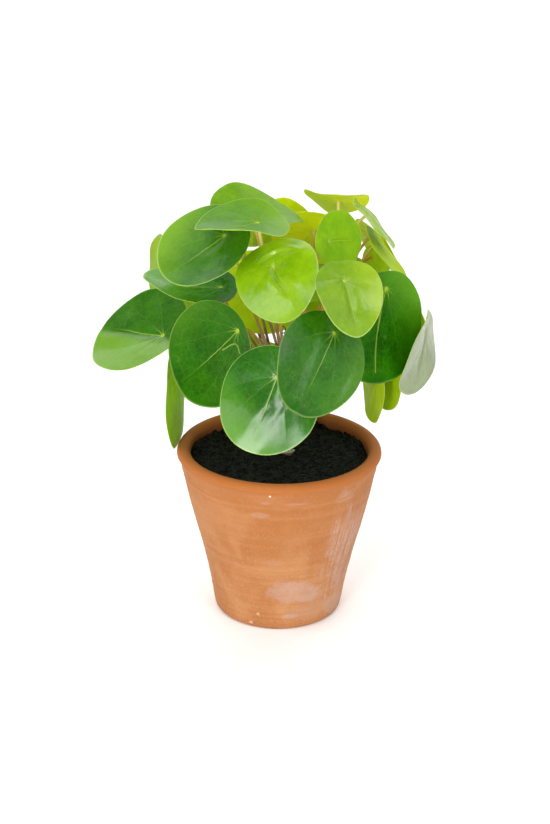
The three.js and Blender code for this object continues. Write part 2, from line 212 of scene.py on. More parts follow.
class Finish:
    """A material in the making. Each method adds a node and returns its output."""

    def __init__(self, name):
        self.material = bpy.data.materials.new(name)
        self.material.use_nodes = True
        self.nodes = self.material.node_tree.nodes
        self.links = self.material.node_tree.links
        self.nodes.clear()

    def put(self, socket, value):
        if isinstance(value, bpy.types.NodeSocket):
            self.links.new(value, socket)
        else:
            socket.default_value = value

    def add(self, kind, settings=None, **inputs):
        node = self.nodes.new("ShaderNode" + kind)
        for name, value in (settings or {}).items():
            setattr(node, name, value)
        for name, value in inputs.items():
            self.put(node.inputs[name.replace("_", " ")], value)
        return node

    def math(self, operation, first, second=0.0, third=0.0):
        node = self.add("Math", {"operation": operation})
        for socket, value in zip(node.inputs, (first, second, third)):
            self.put(socket, value)
        return node.outputs[0]

    def vector(self, operation, first, second=(0.0, 0.0, 0.0)):
        node = self.add("VectorMath", {"operation": operation})
        self.put(node.inputs[0], first)
        self.put(node.inputs[1], second)
        return node

    def times(self, first, second):
        return self.math("MULTIPLY", first, second)

    def most(self, first, second):
        return self.math("MAXIMUM", first, second)

    def band(self, value, low, high, start=0.0, end=1.0):
        """start below low, end above high, and a smooth step between."""
        return self.add(
            "MapRange", {"interpolation_type": "SMOOTHSTEP"},
            Value=value, From_Min=low, From_Max=high, To_Min=start, To_Max=end,
        ).outputs["Result"]

    def blend(self, share, first, second):
        """The first colour, with a share of the second one laid over it."""
        node = self.add("Mix", {"data_type": "RGBA"})
        self.put(node.inputs[0], share)
        self.put(node.inputs[6], first)
        self.put(node.inputs[7], second)
        return node.outputs[2]

    def coats(self, body, *coats):
        """A colour with coats laid over it: value, low, high, share below, share above, tone."""
        for value, low, high, start, end, tone in coats:
            body = self.blend(self.band(value, low, high, start, end), body, linear(*tone))
        return body

    def place(self):
        return self.add("TexCoord").outputs["Object"]

    def uv(self, name):
        return self.add("UVMap", {"uv_map": name}).outputs[0]

    def stretched(self, where, scale):
        return self.add("Mapping", Vector=where, Scale=scale).outputs[0]

    def noise(self, where, scale, detail=3.0, roughness=0.5, distortion=0.0):
        """Clouds whose hills are about 1 / scale metres wide, from 0 to 1."""
        return self.add(
            "TexNoise", Vector=where, Scale=scale, Detail=detail, Roughness=roughness,
            Distortion=distortion,
        ).outputs["Fac"]

    def bump(self, height, depth, **under):
        """A normal tilted as if height, from 0 to 1, stood depth millimetres high."""
        return self.add("Bump", Height=height, Distance=depth * MM, **under).outputs[0]

    def glossy(self, colour, roughness, reflection=0.5, **more):
        return self.add(
            "BsdfPrincipled", Base_Color=colour, Roughness=roughness,
            Specular_IOR_Level=reflection, **more,
        ).outputs[0]

    def sheer(self, shine, colour, share, **more):
        """A shader that also lets a share of the light through, in a colour."""
        mixed = self.add("MixShader", Fac=share)
        self.put(mixed.inputs[1], shine)
        self.put(mixed.inputs[2], self.add("BsdfTranslucent", Color=colour, **more).outputs[0])
        return mixed.outputs[0]

    def surface(self, shader):
        self.add("OutputMaterial", Surface=shader)
        return self.material


# %% [markdown]
# ## Floor and light
#
# The photograph was cut out on white, with soft light from all round. A tall
# window in front to the left and a smaller one, high in front to the right, give
# the long soft reflections on the glossy blades. Three wide patches of sky light
# the rest, and a large pale floor sends light up under the leaves.

# %% Floor
FLOOR_RADIUS = 40000.0
FLOOR_SIDES = 96
floor_angle = full_turn(FLOOR_SIDES)
floor_ring = np.stack([np.cos(floor_angle), np.sin(floor_angle), 0 * floor_angle], -1)
floor_points = np.concatenate([np.zeros((1, 3)), FLOOR_RADIUS * floor_ring])
floor = make_piece("floor", floor_points, [fan(0, np.arange(FLOOR_SIDES) + 1)])

paper = Finish("floor_paper")
mottle = paper.noise(paper.place(), 6.0)
paper_tone = paper.blend(mottle, linear(249, 249, 248), linear(252, 252, 252))
floor.data.materials.append(paper.surface(paper.add("BsdfDiffuse", Color=paper_tone).outputs[0]))
print("floor radius in m", FLOOR_RADIUS * MM)

# %% Light
PLANT_MIDDLE = Vector((0, 0, 0.16))
LAMP_DISTANCE = 1.5


def lamp(name, kind, azimuth, elevation, power, **settings):
    """A lamp that looks at the plant's middle. A sun lights the whole floor alike."""
    away = Vector(direction(azimuth, elevation))
    light = bpy.data.lights.new(name, kind)
    light.energy = power
    for setting, value in settings.items():
        setattr(light, setting, value)
    holder = bpy.data.objects.new(name, light)
    holder.location = PLANT_MIDDLE + LAMP_DISTANCE * away
    holder.rotation_mode = "QUATERNION"
    holder.rotation_quaternion = away.to_track_quat("Z", "Y")
    bpy.context.scene.collection.objects.link(holder)


lamp("lamp_window", "AREA", -111.5, 16, 12.0, shape="RECTANGLE", size=0.36, size_y=0.95)
lamp("lamp_side", "AREA", -62, 42, 4.5, shape="RECTANGLE", size=0.45, size_y=0.80)
lamp("sky_front_left", "SUN", -150, 52, 1.0, angle=math.radians(46))
lamp("sky_back", "SUN", 85, 45, 2.2, angle=math.radians(76))
lamp("sky_right", "SUN", -30, 25, 0.80, angle=math.radians(70))

world = bpy.data.worlds.new("studio")
bpy.context.scene.world = world
world.use_nodes = True
sky = world.node_tree.nodes["Background"].inputs
sky["Color"].default_value = (1.0, 1.0, 1.0, 1.0)
sky["Strength"].default_value = 0.32
bpy.context.scene.view_settings.view_transform = "Standard"
print("lamps", len(bpy.data.lights))

# %% [markdown]
# ## The pot
#
# The pot is thrown on a wheel: a wall that widens upwards, a faint band under
# the rim and a thick rounded lip. A profile turned about the axis gives its
# form. The thrower's fingers leave shallow rings, and the pot sways a little
# from its axis while it dries, so the turned surface is then pushed by a smooth
# field that is long round the pot and short up it.

# %% Pot shape
pot_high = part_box("pot")[1]
POT_HEIGHT = pot_high.z / MM
RIM_RADIUS = pot_high.x / MM
BASE_RADIUS = 41.6
BASE_FILLET = 3.5
NECK_RADIUS = 61.6
BAND_BOTTOM = POT_HEIGHT - 16
BAND_STEP = 0.6
MOUTH_RADIUS = 57.0
WELL_RADIUS = 37.5
FLOOR_THICKNESS = 7.0
SOIL_LEVEL = 104.5
POT_SIDES = 224
FAINT_LINE = 97.0
SWAY = 0.3


def pot_profile():
    """Radius and height of the pot's skin, from the middle of its base to its inner floor.

    A flat base, a quarter-circle foot, a wall that hollows and then swells by two
    sines, a smooth step for the band, half a circle for the lip, and a straight
    inner wall."""
    flat = np.linspace(0, BASE_RADIUS - BASE_FILLET, 12)[1:]
    foot = np.radians(np.linspace(-90, -12, 9))[1:]
    wall = np.linspace(0, 1, 100)[2:]
    outer = NECK_RADIUS * wall + (BASE_RADIUS + 0.2) * (1 - wall)
    outer -= 0.45 * np.sin(np.pi * wall) + 0.55 * np.sin(2 * np.pi * wall)
    band = np.linspace(0, 1, 26)[1:-1]
    lip = (RIM_RADIUS - MOUTH_RADIUS) / 2
    lip_start = POT_HEIGHT - lip
    lip_angle = np.radians(np.linspace(0, 180, 26))
    band_radius = NECK_RADIUS + BAND_STEP * smooth_step(band, 0.0, 0.22)
    band_radius += (RIM_RADIUS - NECK_RADIUS - BAND_STEP) * band**2.4
    inner = np.linspace(0, 1, 40)[1:]
    deep = MOUTH_RADIUS + (WELL_RADIUS - MOUTH_RADIUS) * np.clip((inner - 0.2) / 0.8, 0, 1)
    parts = [
        (flat, 0 * flat),
        (
            BASE_RADIUS - BASE_FILLET + BASE_FILLET * np.cos(foot),
            BASE_FILLET + BASE_FILLET * np.sin(foot),
        ),
        (outer, BASE_FILLET + (BAND_BOTTOM - BASE_FILLET) * wall),
        (band_radius, BAND_BOTTOM + (lip_start - BAND_BOTTOM) * band),
        (MOUTH_RADIUS + lip + lip * np.cos(lip_angle), lip_start + lip * np.sin(lip_angle)),
        (deep, lip_start + (FLOOR_THICKNESS - lip_start) * inner),
        ([WELL_RADIUS * 0.6], [FLOOR_THICKNESS]),
    ]
    return np.concatenate(parts, axis=1)


def pot_points():
    """The profile turned about Z and pushed outward by finger rings and slow waves.

    Two faint lines are pressed in under the band, and the axis sways by SWAY times
    a sine of the height."""
    radius, height = pot_profile()
    angle = full_turn(POT_SIDES)
    z = height[:, None] + 0 * angle
    ring = np.stack([np.cos(angle), np.sin(angle)], -1)
    skin = np.concatenate([radius[:, None, None] * ring, z[..., None]], -1)
    rings = field(skin * [0.05, 0.05, 1.0], 2.6, 11, 2)
    waves = field(skin, 46, 12) * 0.35 + field(skin, 9, 13) * 0.10 + field(skin, 1.6, 14) * 0.03
    line = z - FAINT_LINE - 1.5 * field(skin, 45, 15)
    waves -= 0.25 * np.exp(-((line / 0.8) ** 2)) + 0.10 * np.exp(-(((line + 4.5) / 0.7) ** 2))
    outside = np.arange(len(radius)) < np.argmax(height) + 8
    free = smooth_step(z, 2.0, 8.0) * outside[:, None]
    grown = radius[:, None] + free * (0.09 * rings + waves)
    skin[..., :2] = grown[..., None] * ring
    skin[..., 0] += SWAY * np.sin(np.pi * np.clip(z / BAND_BOTTOM, 0, 1))
    return skin


pot_shell = capped(pot_points(), (0, 0, 0), (0, 0, FLOOR_THICKNESS), flipped=True)
pot = make_piece("fired_pot", *pot_shell, slot="terracotta", stands_for="pot")
print("pot faces", len(pot.data.polygons), "rim in mm", round(2 * RIM_RADIUS, 1))

# %% [markdown]
# Unglazed clay is matt and a little blotchy. Finger rings show as faint level
# streaks. Lime from the water comes through the wall and dries as pale bloom,
# most of it low down and in streaks on one side. The wet soil darkens the inside
# of the rim. The upper wall is painted a little darker, as painted shade from the
# rim and the leaves above.

# %% Terracotta finish
BLOOM_SPOTS = [
    # centre in mm, half sizes in mm, and how strong the bloom is
    ((9, -46, 31), (19, 25, 12), 0.72),
    ((19, -42, 27), (13, 25, 11), 0.72),
    ((19, -40, 13), (18, 25, 10), 0.25),
    ((36, -25, 11), (10, 20, 12), 0.75),
    ((38, -27, 34), (7, 16, 26), 0.55),
    ((-11.6, -59, 90.7), (9, 15, 2.6), 0.38),
    ((-8, -62, 99.9), (7, 15, 2.2), 0.34),
    ((11.6, -62, 99), (12, 15, 2.0), 0.30),
    ((-4, -50, 54), (9, 20, 3.2), 0.18),
    ((8, -42, 10.5), (8, 12, 3.2), 0.65),
    ((42, -45, 98), (10, 14, 6), 0.40),
    ((45, -36, 76), (8, 20, 9), 0.40),
]
LIME_DOTS = [
    # centre and radius in mm, and how strong the dot is
    ((-5.5, -64, 105.5), 0.9, 0.95),
    ((-17, -38, 3.9), 1.2, 0.30),
    ((-12.6, -41, 11.6), 1.1, 0.25),
]
STREAKED_SIDE = ((42, -26, 46), (16, 30, 56))


def terracotta():
    """Clay body, level streaks, speckle, pale bloom, dark damp inside, and fine pits.

    From 10 mm up to 100 mm the wall grows darker and more orange: painted shade from the rim and
    the leaves above."""
    clay = Finish("terracotta_fired")
    place = clay.place()
    blotch = clay.noise(place, 32.0, 4.0, 0.55, 0.6)
    streak = clay.noise(clay.stretched(place, (9.0, 9.0, 330.0)), 1.0, 3.0, 0.6)
    speck = clay.noise(place, 750.0, 3.0, 0.7)
    split = clay.add("SeparateXYZ", Vector=place)
    wander = clay.times(clay.math("SUBTRACT", blotch, 0.5), 2.4 * MM)
    depth = clay.math("ADD", split.outputs["Z"], wander)
    body = clay.coats(
        linear(172, 110, 60),
        (blotch, 0.32, 0.70, 0.0, 1.0, (188, 131, 83)),
        (streak, 0.45, 0.75, 0.0, 0.30, (198, 148, 104)),
        (streak, 0.30, 0.50, 0.25, 0.0, (172, 98, 48)),
        (speck, 0.50, 0.75, 0.0, 0.35, (206, 164, 126)),
        (speck, 0.24, 0.36, 0.45, 0.0, (140, 74, 38)),
        # painted shade: darker and more orange from 10 mm up to 100 mm, for the shade of the rim
        # and the leaves
        (depth, 10 * MM, 100 * MM, 0.0, 0.36, (160, 94, 44)),
    )

    spread = clay.noise(place, 95.0, 6.0, 0.70)
    dusty = clay.noise(place, 420.0, 3.0, 0.7)
    ragged = clay.band(spread, 0.30, 0.60, 0.55, 1.0)
    ragged = clay.times(ragged, clay.band(dusty, 0.34, 0.60, 0.7, 1.0))
    flat = clay.add("CombineXYZ", X=split.outputs["X"], Y=split.outputs["Y"]).outputs[0]
    outward = clay.stretched(clay.vector("NORMALIZE", flat).outputs[0], (24.0, 24.0, 0.0))
    drip_place = clay.vector("ADD", outward, clay.stretched(place, (0.0, 0.0, 22.0)))
    drip = clay.noise(drip_place.outputs[0], 1.0, 2.0, 0.55, 0.4)
    bloom = clay.times(clay.band(spread, 0.56, 0.80), 0.26)

    def nearness(centre, size):
        """Distance from a centre in mm, counted in half sizes, with a ragged edge."""
        node = clay.add(
            "Mapping", {"vector_type": "TEXTURE"},
            Vector=place, Location=np.array(centre) * MM, Scale=np.array(size) * MM,
        )
        length = clay.vector("LENGTH", node.outputs[0]).outputs["Value"]
        return clay.math("ADD", length, clay.times(spread, 2.2))

    for centre, size, strength in BLOOM_SPOTS:
        spot = clay.band(nearness(centre, size), 1.55, 2.05, strength, 0.0)
        bloom = clay.most(bloom, clay.times(spot, ragged))
    streaked = clay.band(nearness(*STREAKED_SIDE), 1.5, 2.4, 0.85, 0.0)
    streaked = clay.times(streaked, clay.band(drip, 0.42, 0.58, 0.10, 1.0))
    streaked = clay.times(streaked, clay.band(dusty, 0.40, 0.60, 0.5, 1.0))
    bloom = clay.most(bloom, streaked)
    body = clay.blend(bloom, body, linear(188, 156, 141))
    for centre, size, strength in LIME_DOTS:
        near = nearness(centre, (size, 6, size))
        body = clay.coats(body, (near, 1.7, 2.2, strength, 0.0, (250, 240, 226)))

    radius = clay.vector("LENGTH", flat).outputs["Value"]
    inside = clay.band(radius, (MOUTH_RADIUS + 0.6) * MM, (MOUTH_RADIUS + 3.6) * MM, 1.0, 0.0)
    inside = clay.times(inside, clay.band(depth, 92 * MM, 96 * MM))
    damp = clay.times(inside, clay.band(depth, 103 * MM, 112.5 * MM, 1.0, 0.25))
    lip = clay.times(clay.band(depth, 105 * MM, 108.5 * MM), 0.7)
    line = clay.math("ABSOLUTE", clay.math("SUBTRACT", depth, FAINT_LINE * MM))
    line = clay.band(line, 0.3 * MM, 1.3 * MM, 0.5, 0.0)
    line = clay.times(line, clay.band(blotch, 0.3, 0.6))
    body = clay.blend(clay.most(lip, line), body, linear(174, 98, 40))
    body = clay.blend(clay.times(damp, 0.92), body, linear(110, 54, 22))

    normal = clay.bump(streak, 0.12, Normal=clay.bump(speck, 0.10))
    rough = clay.band(bloom, 0.0, 0.6, 0.74, 0.95)
    return clay.surface(clay.glossy(body, rough, 0.25, Normal=normal))


pot.data.materials.append(terracotta())
print("bloom spots", len(BLOOM_SPOTS))

# %% [markdown]
# ## The soil
#
# Moist peat is a heap of crumbs of all sizes, nearly black. Its surface is a
# disc of rings pushed up and down by the random field, finer and finer. Loose
# crumbs then lie on it: small many-sided lumps, each with its own shape, sunk
# by about half. They crowd at the wall, where the edge is ragged.

# %% Soil bed
SOIL_RADIUS = 57.2
SOIL_RINGS = 120
SOIL_SIDES = 300
SOIL_BOTTOM = 96.0


def soil_height(x, y):
    """Height of the soil's top: heaps 15 mm wide, crumbs 4 mm wide and grit below 2 mm.

    At the wall clods 5 mm wide rise by up to 2 mm, with gaps between them."""
    spot = np.stack([x, y, 0 * x], -1)
    heaps = 0.9 * field(spot, 15, 21)
    crumbs = 1.0 * np.abs(field(spot, 4.0, 22, 2))
    grit = 0.45 * field(spot, 1.3, 24, 2)
    clods = smooth_step(field(spot, 5.5, 25, 2), -0.3, 0.7)
    edge = smooth_step(np.hypot(x, y), 49, 56) * (2.6 * clods - 0.6)
    return SOIL_LEVEL - 0.8 + heaps + crumbs + grit + edge


soil_r = np.linspace(0.4, SOIL_RADIUS, SOIL_RINGS)[:, None]
soil_a = full_turn(SOIL_SIDES)
soil_x, soil_y = soil_r * np.cos(soil_a), soil_r * np.sin(soil_a)
soil_top = np.stack([soil_x, soil_y, soil_height(soil_x, soil_y)], -1)
soil_low = soil_top[-1] * [0.985, 0.985, 0] + [0, 0, SOIL_BOTTOM]
soil_middle = soil_top[0, :, 2].mean()
soil_skin = np.concatenate([soil_top, soil_low[None]])
soil_shell = capped(soil_skin, (0, 0, soil_middle), (0, 0, SOIL_BOTTOM))
soil = make_piece("soil_bed", *soil_shell, slot="peat", stands_for="soil")
print("soil faces", len(soil.data.polygons))

# %% Crumbs
CRUMBS = 2400
GOLDEN = (1 + math.sqrt(5)) / 2
ICO_POINTS = np.array(
    [
        (-1, GOLDEN, 0), (1, GOLDEN, 0), (-1, -GOLDEN, 0), (1, -GOLDEN, 0),
        (0, -1, GOLDEN), (0, 1, GOLDEN), (0, -1, -GOLDEN), (0, 1, -GOLDEN),
        (GOLDEN, 0, -1), (GOLDEN, 0, 1), (-GOLDEN, 0, -1), (-GOLDEN, 0, 1),
    ]
) / math.hypot(1, GOLDEN)
ICO_FACES = np.array(
    [
        (0, 11, 5), (0, 5, 1), (0, 1, 7), (0, 7, 10), (0, 10, 11),
        (1, 5, 9), (5, 11, 4), (11, 10, 2), (10, 7, 6), (7, 1, 8),
        (3, 9, 4), (3, 4, 2), (3, 2, 6), (3, 6, 8), (3, 8, 9),
        (4, 9, 5), (2, 4, 11), (6, 2, 10), (8, 6, 7), (9, 8, 1),
    ]
)


def crumb_heap(count, seed):
    """Twenty-sided lumps scattered evenly over the disc, a third of them at the wall.

    Each one's corners are pushed in or out by up to 35 %. It is then flattened,
    turned about Z and sunk by half."""
    draw = np.random.default_rng(seed)
    spread = np.sqrt(draw.uniform(0, 1, count))
    wall = draw.uniform(0, 1, count) < 0.3
    reach = np.where(wall, 1 - 0.07 * draw.uniform(0, 1, count) ** 2, spread)
    angle = draw.uniform(0, 2 * np.pi, count)
    x = (SOIL_RADIUS - 1.4) * reach * np.cos(angle)
    y = (SOIL_RADIUS - 1.4) * reach * np.sin(angle)
    size = 0.45 + 0.95 * draw.uniform(0, 1, count) ** 2.5
    lumps = ICO_POINTS * (1 + draw.uniform(-0.35, 0.35, (count, 12, 1)))
    lumps = lumps * size[:, None, None] * draw.uniform(0.6, 1.2, (count, 1, 3))
    turn = draw.uniform(0, 2 * np.pi, count)[:, None]
    turned_x = lumps[..., 0] * np.cos(turn) - lumps[..., 1] * np.sin(turn)
    turned_y = lumps[..., 0] * np.sin(turn) + lumps[..., 1] * np.cos(turn)
    z = lumps[..., 2] + (soil_height(x, y) + 0.15 * size)[:, None]
    return np.stack([turned_x + x[:, None], turned_y + y[:, None], z], -1)


crumb_points = crumb_heap(CRUMBS, 5)
crumb_faces = ICO_FACES + 12 * np.arange(CRUMBS)[:, None, None]
crumbs = make_piece(
    "soil_crumbs", crumb_points.reshape(-1, 3), [crumb_faces.reshape(-1, 3)], slot="peat"
)
crumbs.data.polygons.foreach_set("use_smooth", np.zeros(20 * CRUMBS, bool))
print("crumbs", CRUMBS)

# %% Peat finish
def peat():
    """Nearly black, with brown and grey-green crumbs, a few pale grains, and no gloss."""
    earth = Finish("peat_moist")
    place = earth.place()
    lump = earth.noise(place, 260.0, 3.0, 0.6)
    grain = earth.noise(place, 1300.0, 2.0, 0.6)
    body = earth.coats(
        linear(8, 10, 9),
        (lump, 0.38, 0.62, 0.0, 1.0, (32, 34, 30)),
        (grain, 0.55, 0.75, 0.0, 0.7, (66, 66, 54)),
        (grain, 0.78, 0.82, 0.0, 0.5, (140, 128, 104)),
    )
    normal = earth.bump(grain, 0.35, Normal=earth.bump(lump, 0.5))
    return earth.surface(earth.glossy(body, 0.95, 0.12, Normal=normal))


peat_finish = peat()
soil.data.materials.append(peat_finish)
crumbs.data.materials.append(peat_finish)
print("peat on", soil.name, "and", crumbs.name)

# %% [markdown]
# ## The leaves, as a list
#
# Every leaf is the same form with its own numbers. hub is where the stalk meets
# the blade, in mm. face is the direction of the upper side as azimuth and
# elevation, and turn swings the tip round the hub, away from straight down.
# size is length and width, and back is the share of the length behind the hub.
# cup raises the margin, droop lowers the tip, fold raises the halves beside the
# midrib, twist winds the blade and egg narrows the half at the tip. near and
# bend shape the stalk where it has to pass another leaf. look names the colour,
# and pale says on which side a blade is painted paler: painted light and sheen on
# the side that catches the light.

# %% Leaves
PLAIN = dict(cup=0, droop=0, fold=(0, 0), twist=0, egg=0, pale=(0, 0, 0), near=None, bend=(0, 0, 0))
ROW = ("name", "hub", "face", "turn", "size", "back", "look")


def row(*values, **more):
    """One leaf: the values of ROW in their order, then by name what differs from PLAIN."""
    return {**PLAIN, **dict(zip(ROW, values)), **more}


LEAVES = [
    row("top_left_back", (-22, 6, 271.3), (-52, 64), 0, (59, 56), 0.3, "fresh", droop=-8,
        fold=(-5, -4)),
    row("top_left_front", (-14, -44, 273), (-90, 82), -55, (56, 53), 0.3, "matt", droop=-2,
        fold=(1, 6), twist=9, near=(1, 5, -9), bend=(0, 45, 15), pale=(-0.5, 0, 0.25)),
    row("upper_left", (-33.7, -37, 262.7), (-123, 46), -30, (59.5, 56), 0.27, "mid", cup=3,
        fold=(2.5, 2.5), pale=(0.4, -0.75, -0.2)),
    row("far_left_pale", (-78.2, 57, 220.8), (-160, 6), 6, (44, 42), 0.3, "pale", cup=1,
        near=(16, -10, 3), bend=(-4, -14, 14)),
    row("left_shaded", (-36.6, 3.5, 217.2), (-101, 75), -70, (58, 52), 0.17, "shade", cup=2,
        droop=-3, fold=(0, 2.5), twist=5, pale=(0.6, -0.2, -0.1)),
    row("left_wide", (-73.6, 0, 186), (-144, 53), -74, (69, 68), 0.23, "keel", egg=-0.06, cup=1,
        fold=(4, 2), pale=(0, 4, 0)),
    row("left_centre", (-25.7, -48, 207), (-138, -2), -44, (70, 64), 0.12, "knee", egg=0.03,
        cup=3, droop=-1.5, fold=(2, 2), pale=(0, -0.7, -0.25)),
    row("front_low", (-2, -72, 187), (-113, 15), -14, (65, 62), 0.27, "wet", droop=-2,
        fold=(-1, -1), pale=(0.85, -0.3, -0.38)),
    row("front_right", (31, -74, 216), (-55, 35), -43, (64, 54), 0.17, "rich", egg=0.1, cup=-1.5,
        droop=3, pale=(0, 0.75, -0.18)),
    row("centre_bright", (-5, -46, 247), (-119, 47), 44, (55, 51), 0.31, "bright", egg=0.07,
        droop=2.5, fold=(2, 2), twist=5),
    row("right_pale", (36, -68, 246), (-69, 52), 3, (45, 40), 0.28, "leek", egg=0.11, droop=6,
        fold=(4, 2), pale=(0, 0.45, 0.05)),
    row("right_small", (28, -40, 260), (-50, 13), 83, (36, 36), 0.3, "small"),
    row("top_right", (35, 22, 268), (81, 64), 18, (44, 41), 0.32, "glow", cup=1, droop=2.5,
        fold=(3, 3), twist=4, near=(-1, -20, -10), bend=(6, -26, 0)),
    row("back_centre", (20.2, 27, 247.8), (85, 40), 0, (58, 56), 0.32, "glow", fold=(1.5, 1)),
    row("back_top", (3, 58.5, 246), (60, 5), -8, (43, 41), 0.31, "glow", bend=(8, 45, -42)),
    row("right_top", (52, 1, 265), (0, 46), 0, (39, 37), 0.32, "sheen", droop=1.5,
        near=(-12, 0, -7), bend=(-4, 0, 8)),
    row("right_upper", (59, 2, 246.5), (-2, 38), 4, (46, 45), 0.27, "blond"),
    row("right_upper_back", (57, 42, 239), (30, 32), 0, (42, 40), 0.32, "glow"),
    row("right_inner", (57, 14, 234), (25, 3), -20, (42, 38), 0.18, "fresh"),
    row("right_wide", (63.5, -30, 228.5), (-54, -3), -15, (69, 71), 0.16, "night", cup=2.5,
        droop=-1.5, fold=(-4.5, 1.5), twist=3, pale=(-0.8, 0.6, 0.4)),
    row("far_right", (89.7, -11, 194.3), (-16, -2), -24, (54, 54), 0.25, "silver", droop=3,
        fold=(2, 1), twist=5),
    row("far_right_back", (86, 32, 177), (22, 0), 10, (56, 53), 0.33, "fresh", near=(-10, -4, 17),
        bend=(0, 0, 32)),
    row("low_right", (62.8, 12, 155.3), (13, -4), 38, (48, 48), 0.25, "lime"),
    row("low_right_back", (69, 20, 163), (22, 1), 33, (56, 53), 0.34, "lime", near=(-2, -1, 22),
        bend=(9, 0, 34)),
    row("low_left", (-66.8, 21, 152.8), (172, -2), 21, (68, 62), 0.28, "olive"),
    row("back_low", (-13, 30, 213), (75, 12), 10, (62, 60), 0.34, "lime", fold=(2, 0.5)),
    row("rear_top_left", (-40, 50, 245), (130, 52), 10, (46, 43), 0.3, "fresh", droop=2,
        near=(4, -20, 0), bend=(5, -15, 35)),
    row("rear_left", (-50, 60, 196), (135, 28), 20, (50, 48), 0.3, "mid", fold=(2, 2),
        bend=(0, 5, -20)),
    row("rear_mid_left", (-29, 77, 205), (110, 30), -10, (51, 48), 0.3, "mid", droop=3,
        bend=(0, 15, -30)),
    row("rear_centre", (17, 84, 196), (85, 25), 5, (49, 46), 0.3, "deep", fold=(3, 2),
        bend=(0, 10, -25)),
    row("rear_mid_right", (38, 62, 212), (66, 32), -15, (52, 49), 0.3, "mid", cup=2,
        bend=(0, 10, -25)),
    row("rear_right", (60, 50, 192), (38, 20), 10, (50, 47), 0.3, "deep", fold=(2, 3)),
    row("rear_low_centre", (-14, 78, 140), (100, 8), 8, (54, 51), 0.28, "deep", fold=(2, 2)),
    row("rear_low_right", (30, 72, 170), (70, 8), -12, (58, 55), 0.28, "mid", twist=3),
    row("rear_low_left", (-34, 58, 158), (122, 8), 10, (54, 51), 0.28, "mid", droop=2),
    row("rear_top", (-18, 46, 243), (98, 40), -5, (34, 32), 0.3, "lime", fold=(2, 2),
        near=(2, -18, 5), bend=(0, -18, 50)),
]
print("leaves", len(LEAVES))

# %% A leaf's own directions
def leaf_frame(leaf):
    """Hub, tip direction, side direction and upward direction of a leaf.

    The tip's is straight down laid into the blade's plane and swung by turn."""
    up = direction(*leaf["face"])
    down = up * up[2] - [0, 0, 1]
    down /= np.linalg.norm(down)
    turn = np.radians(leaf["turn"])
    tip = np.cos(turn) * down + np.sin(turn) * np.cross(up, down)
    return np.array(leaf["hub"], float), tip, np.cross(up, tip), up


# %% [markdown]
# ## Trunk and stalks
#
# A pilea has one short woody trunk. Stalks leave it all the way up, lean out,
# arch and come to the middle of their blades. Each stalk is a round tube along
# a curve with four control points. It is thicker where it leaves the trunk and
# flares a little under the blade.

# %% Tubes along a path
def tube(path, radii, sides):
    """Points and faces of a round tube along a path.

    Circles stand square to the path. The first direction of each is the last one's,
    laid square to the new heading, so that the tube doesn't wind."""
    heading = np.gradient(path, axis=0)
    heading /= np.linalg.norm(heading, axis=1)[:, None]
    side = np.cross(heading[0], [0.31, 0.52, 0.79])
    firsts = []
    for ahead in heading:
        side = side - ahead * (side @ ahead)
        side = side / np.linalg.norm(side)
        firsts.append(side)
    first = np.array(firsts)
    second = np.cross(heading, first)
    angle = full_turn(sides)[:, None]
    ring = first[:, None] * np.cos(angle) + second[:, None] * np.sin(angle)
    points = path[:, None] + ring * radii[:, None, None]
    return capped(points, path[0], path[-1], flipped=True)


# %% Stalk curves
BLADE_THICKNESS = 0.9
GAP = 0.3
STALK_RADIUS = 1.15
SLIM_RADIUS = 0.92
LOWEST_ROOT = 126
ROOT_SPAN = 30
LEAN_OUT = 0.22
LEAN_UP = 0.3
STALK_ROWS = 28
STALK_SIDES = 12
TRUNK_FOOT = np.array([5.0, 6.0])
TRUNK_TOP = np.array([3.0, 3.0])
TRUNK_TOP_Z = 158.0
TRUNK_BOTTOM_Z = 84.0
TRUNK_RADIUS = 4.2
TRUNK_TAPER = 0.7
TRUNK_ROWS = 110
TRUNK_SIDES = 40


def trunk_axis(z):
    """Centre of the trunk at a height: it leans in a straight line above the soil."""
    share = np.clip((z - SOIL_LEVEL) / (TRUNK_TOP_Z - SOIL_LEVEL), 0, 1)
    foot_to_top = TRUNK_FOOT + share[..., None] * (TRUNK_TOP - TRUNK_FOOT)
    return np.concatenate([foot_to_top, z[..., None]], -1)


def stalk_path(leaf):
    """Cubic curve from the trunk to the blade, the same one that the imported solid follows.

    Low leaves start low. The first control point leans out by LEAN_OUT and up by
    LEAN_UP of the way's length, and the last one lies under the blade."""
    hub, _, _, up = leaf_frame(leaf)
    rise = np.clip((leaf["hub"][2] - 150) / 110, 0, 1)
    root = trunk_axis(np.array(LOWEST_ROOT + ROOT_SPAN * rise))
    reach = np.linalg.norm(hub - root)
    under = np.array(leaf["near"], float) if leaf["near"] else -up * min(16, reach * 0.25)
    slant = np.arccos(np.clip(-(under @ up) / np.linalg.norm(under), -1, 1))
    end = hub - up * (BLADE_THICKNESS + GAP + STALK_RADIUS * np.sin(slant))
    out = (end - root) * [1, 1, 0]
    out /= np.linalg.norm(out)
    start = root + out * reach * LEAN_OUT + [0, 0, reach * LEAN_UP] + leaf["bend"]
    t = np.linspace(0, 1, STALK_ROWS)[:, None]
    curve = (1 - t) ** 3 * root + 3 * (1 - t) ** 2 * t * start
    curve += 3 * (1 - t) * t**2 * (end + under) + t**3 * end
    return np.concatenate([curve, [hub - up * 1.2]])


def stalk_radii(rows):
    """Thick at the trunk, SLIM_RADIUS on the way, and a small flare under the blade."""
    t = np.linspace(0, 1, rows)
    root, flare = np.exp(-((t / 0.07) ** 2)), np.exp(-(((1 - t) / 0.035) ** 2))
    return SLIM_RADIUS + 0.45 * root + 0.38 * flare


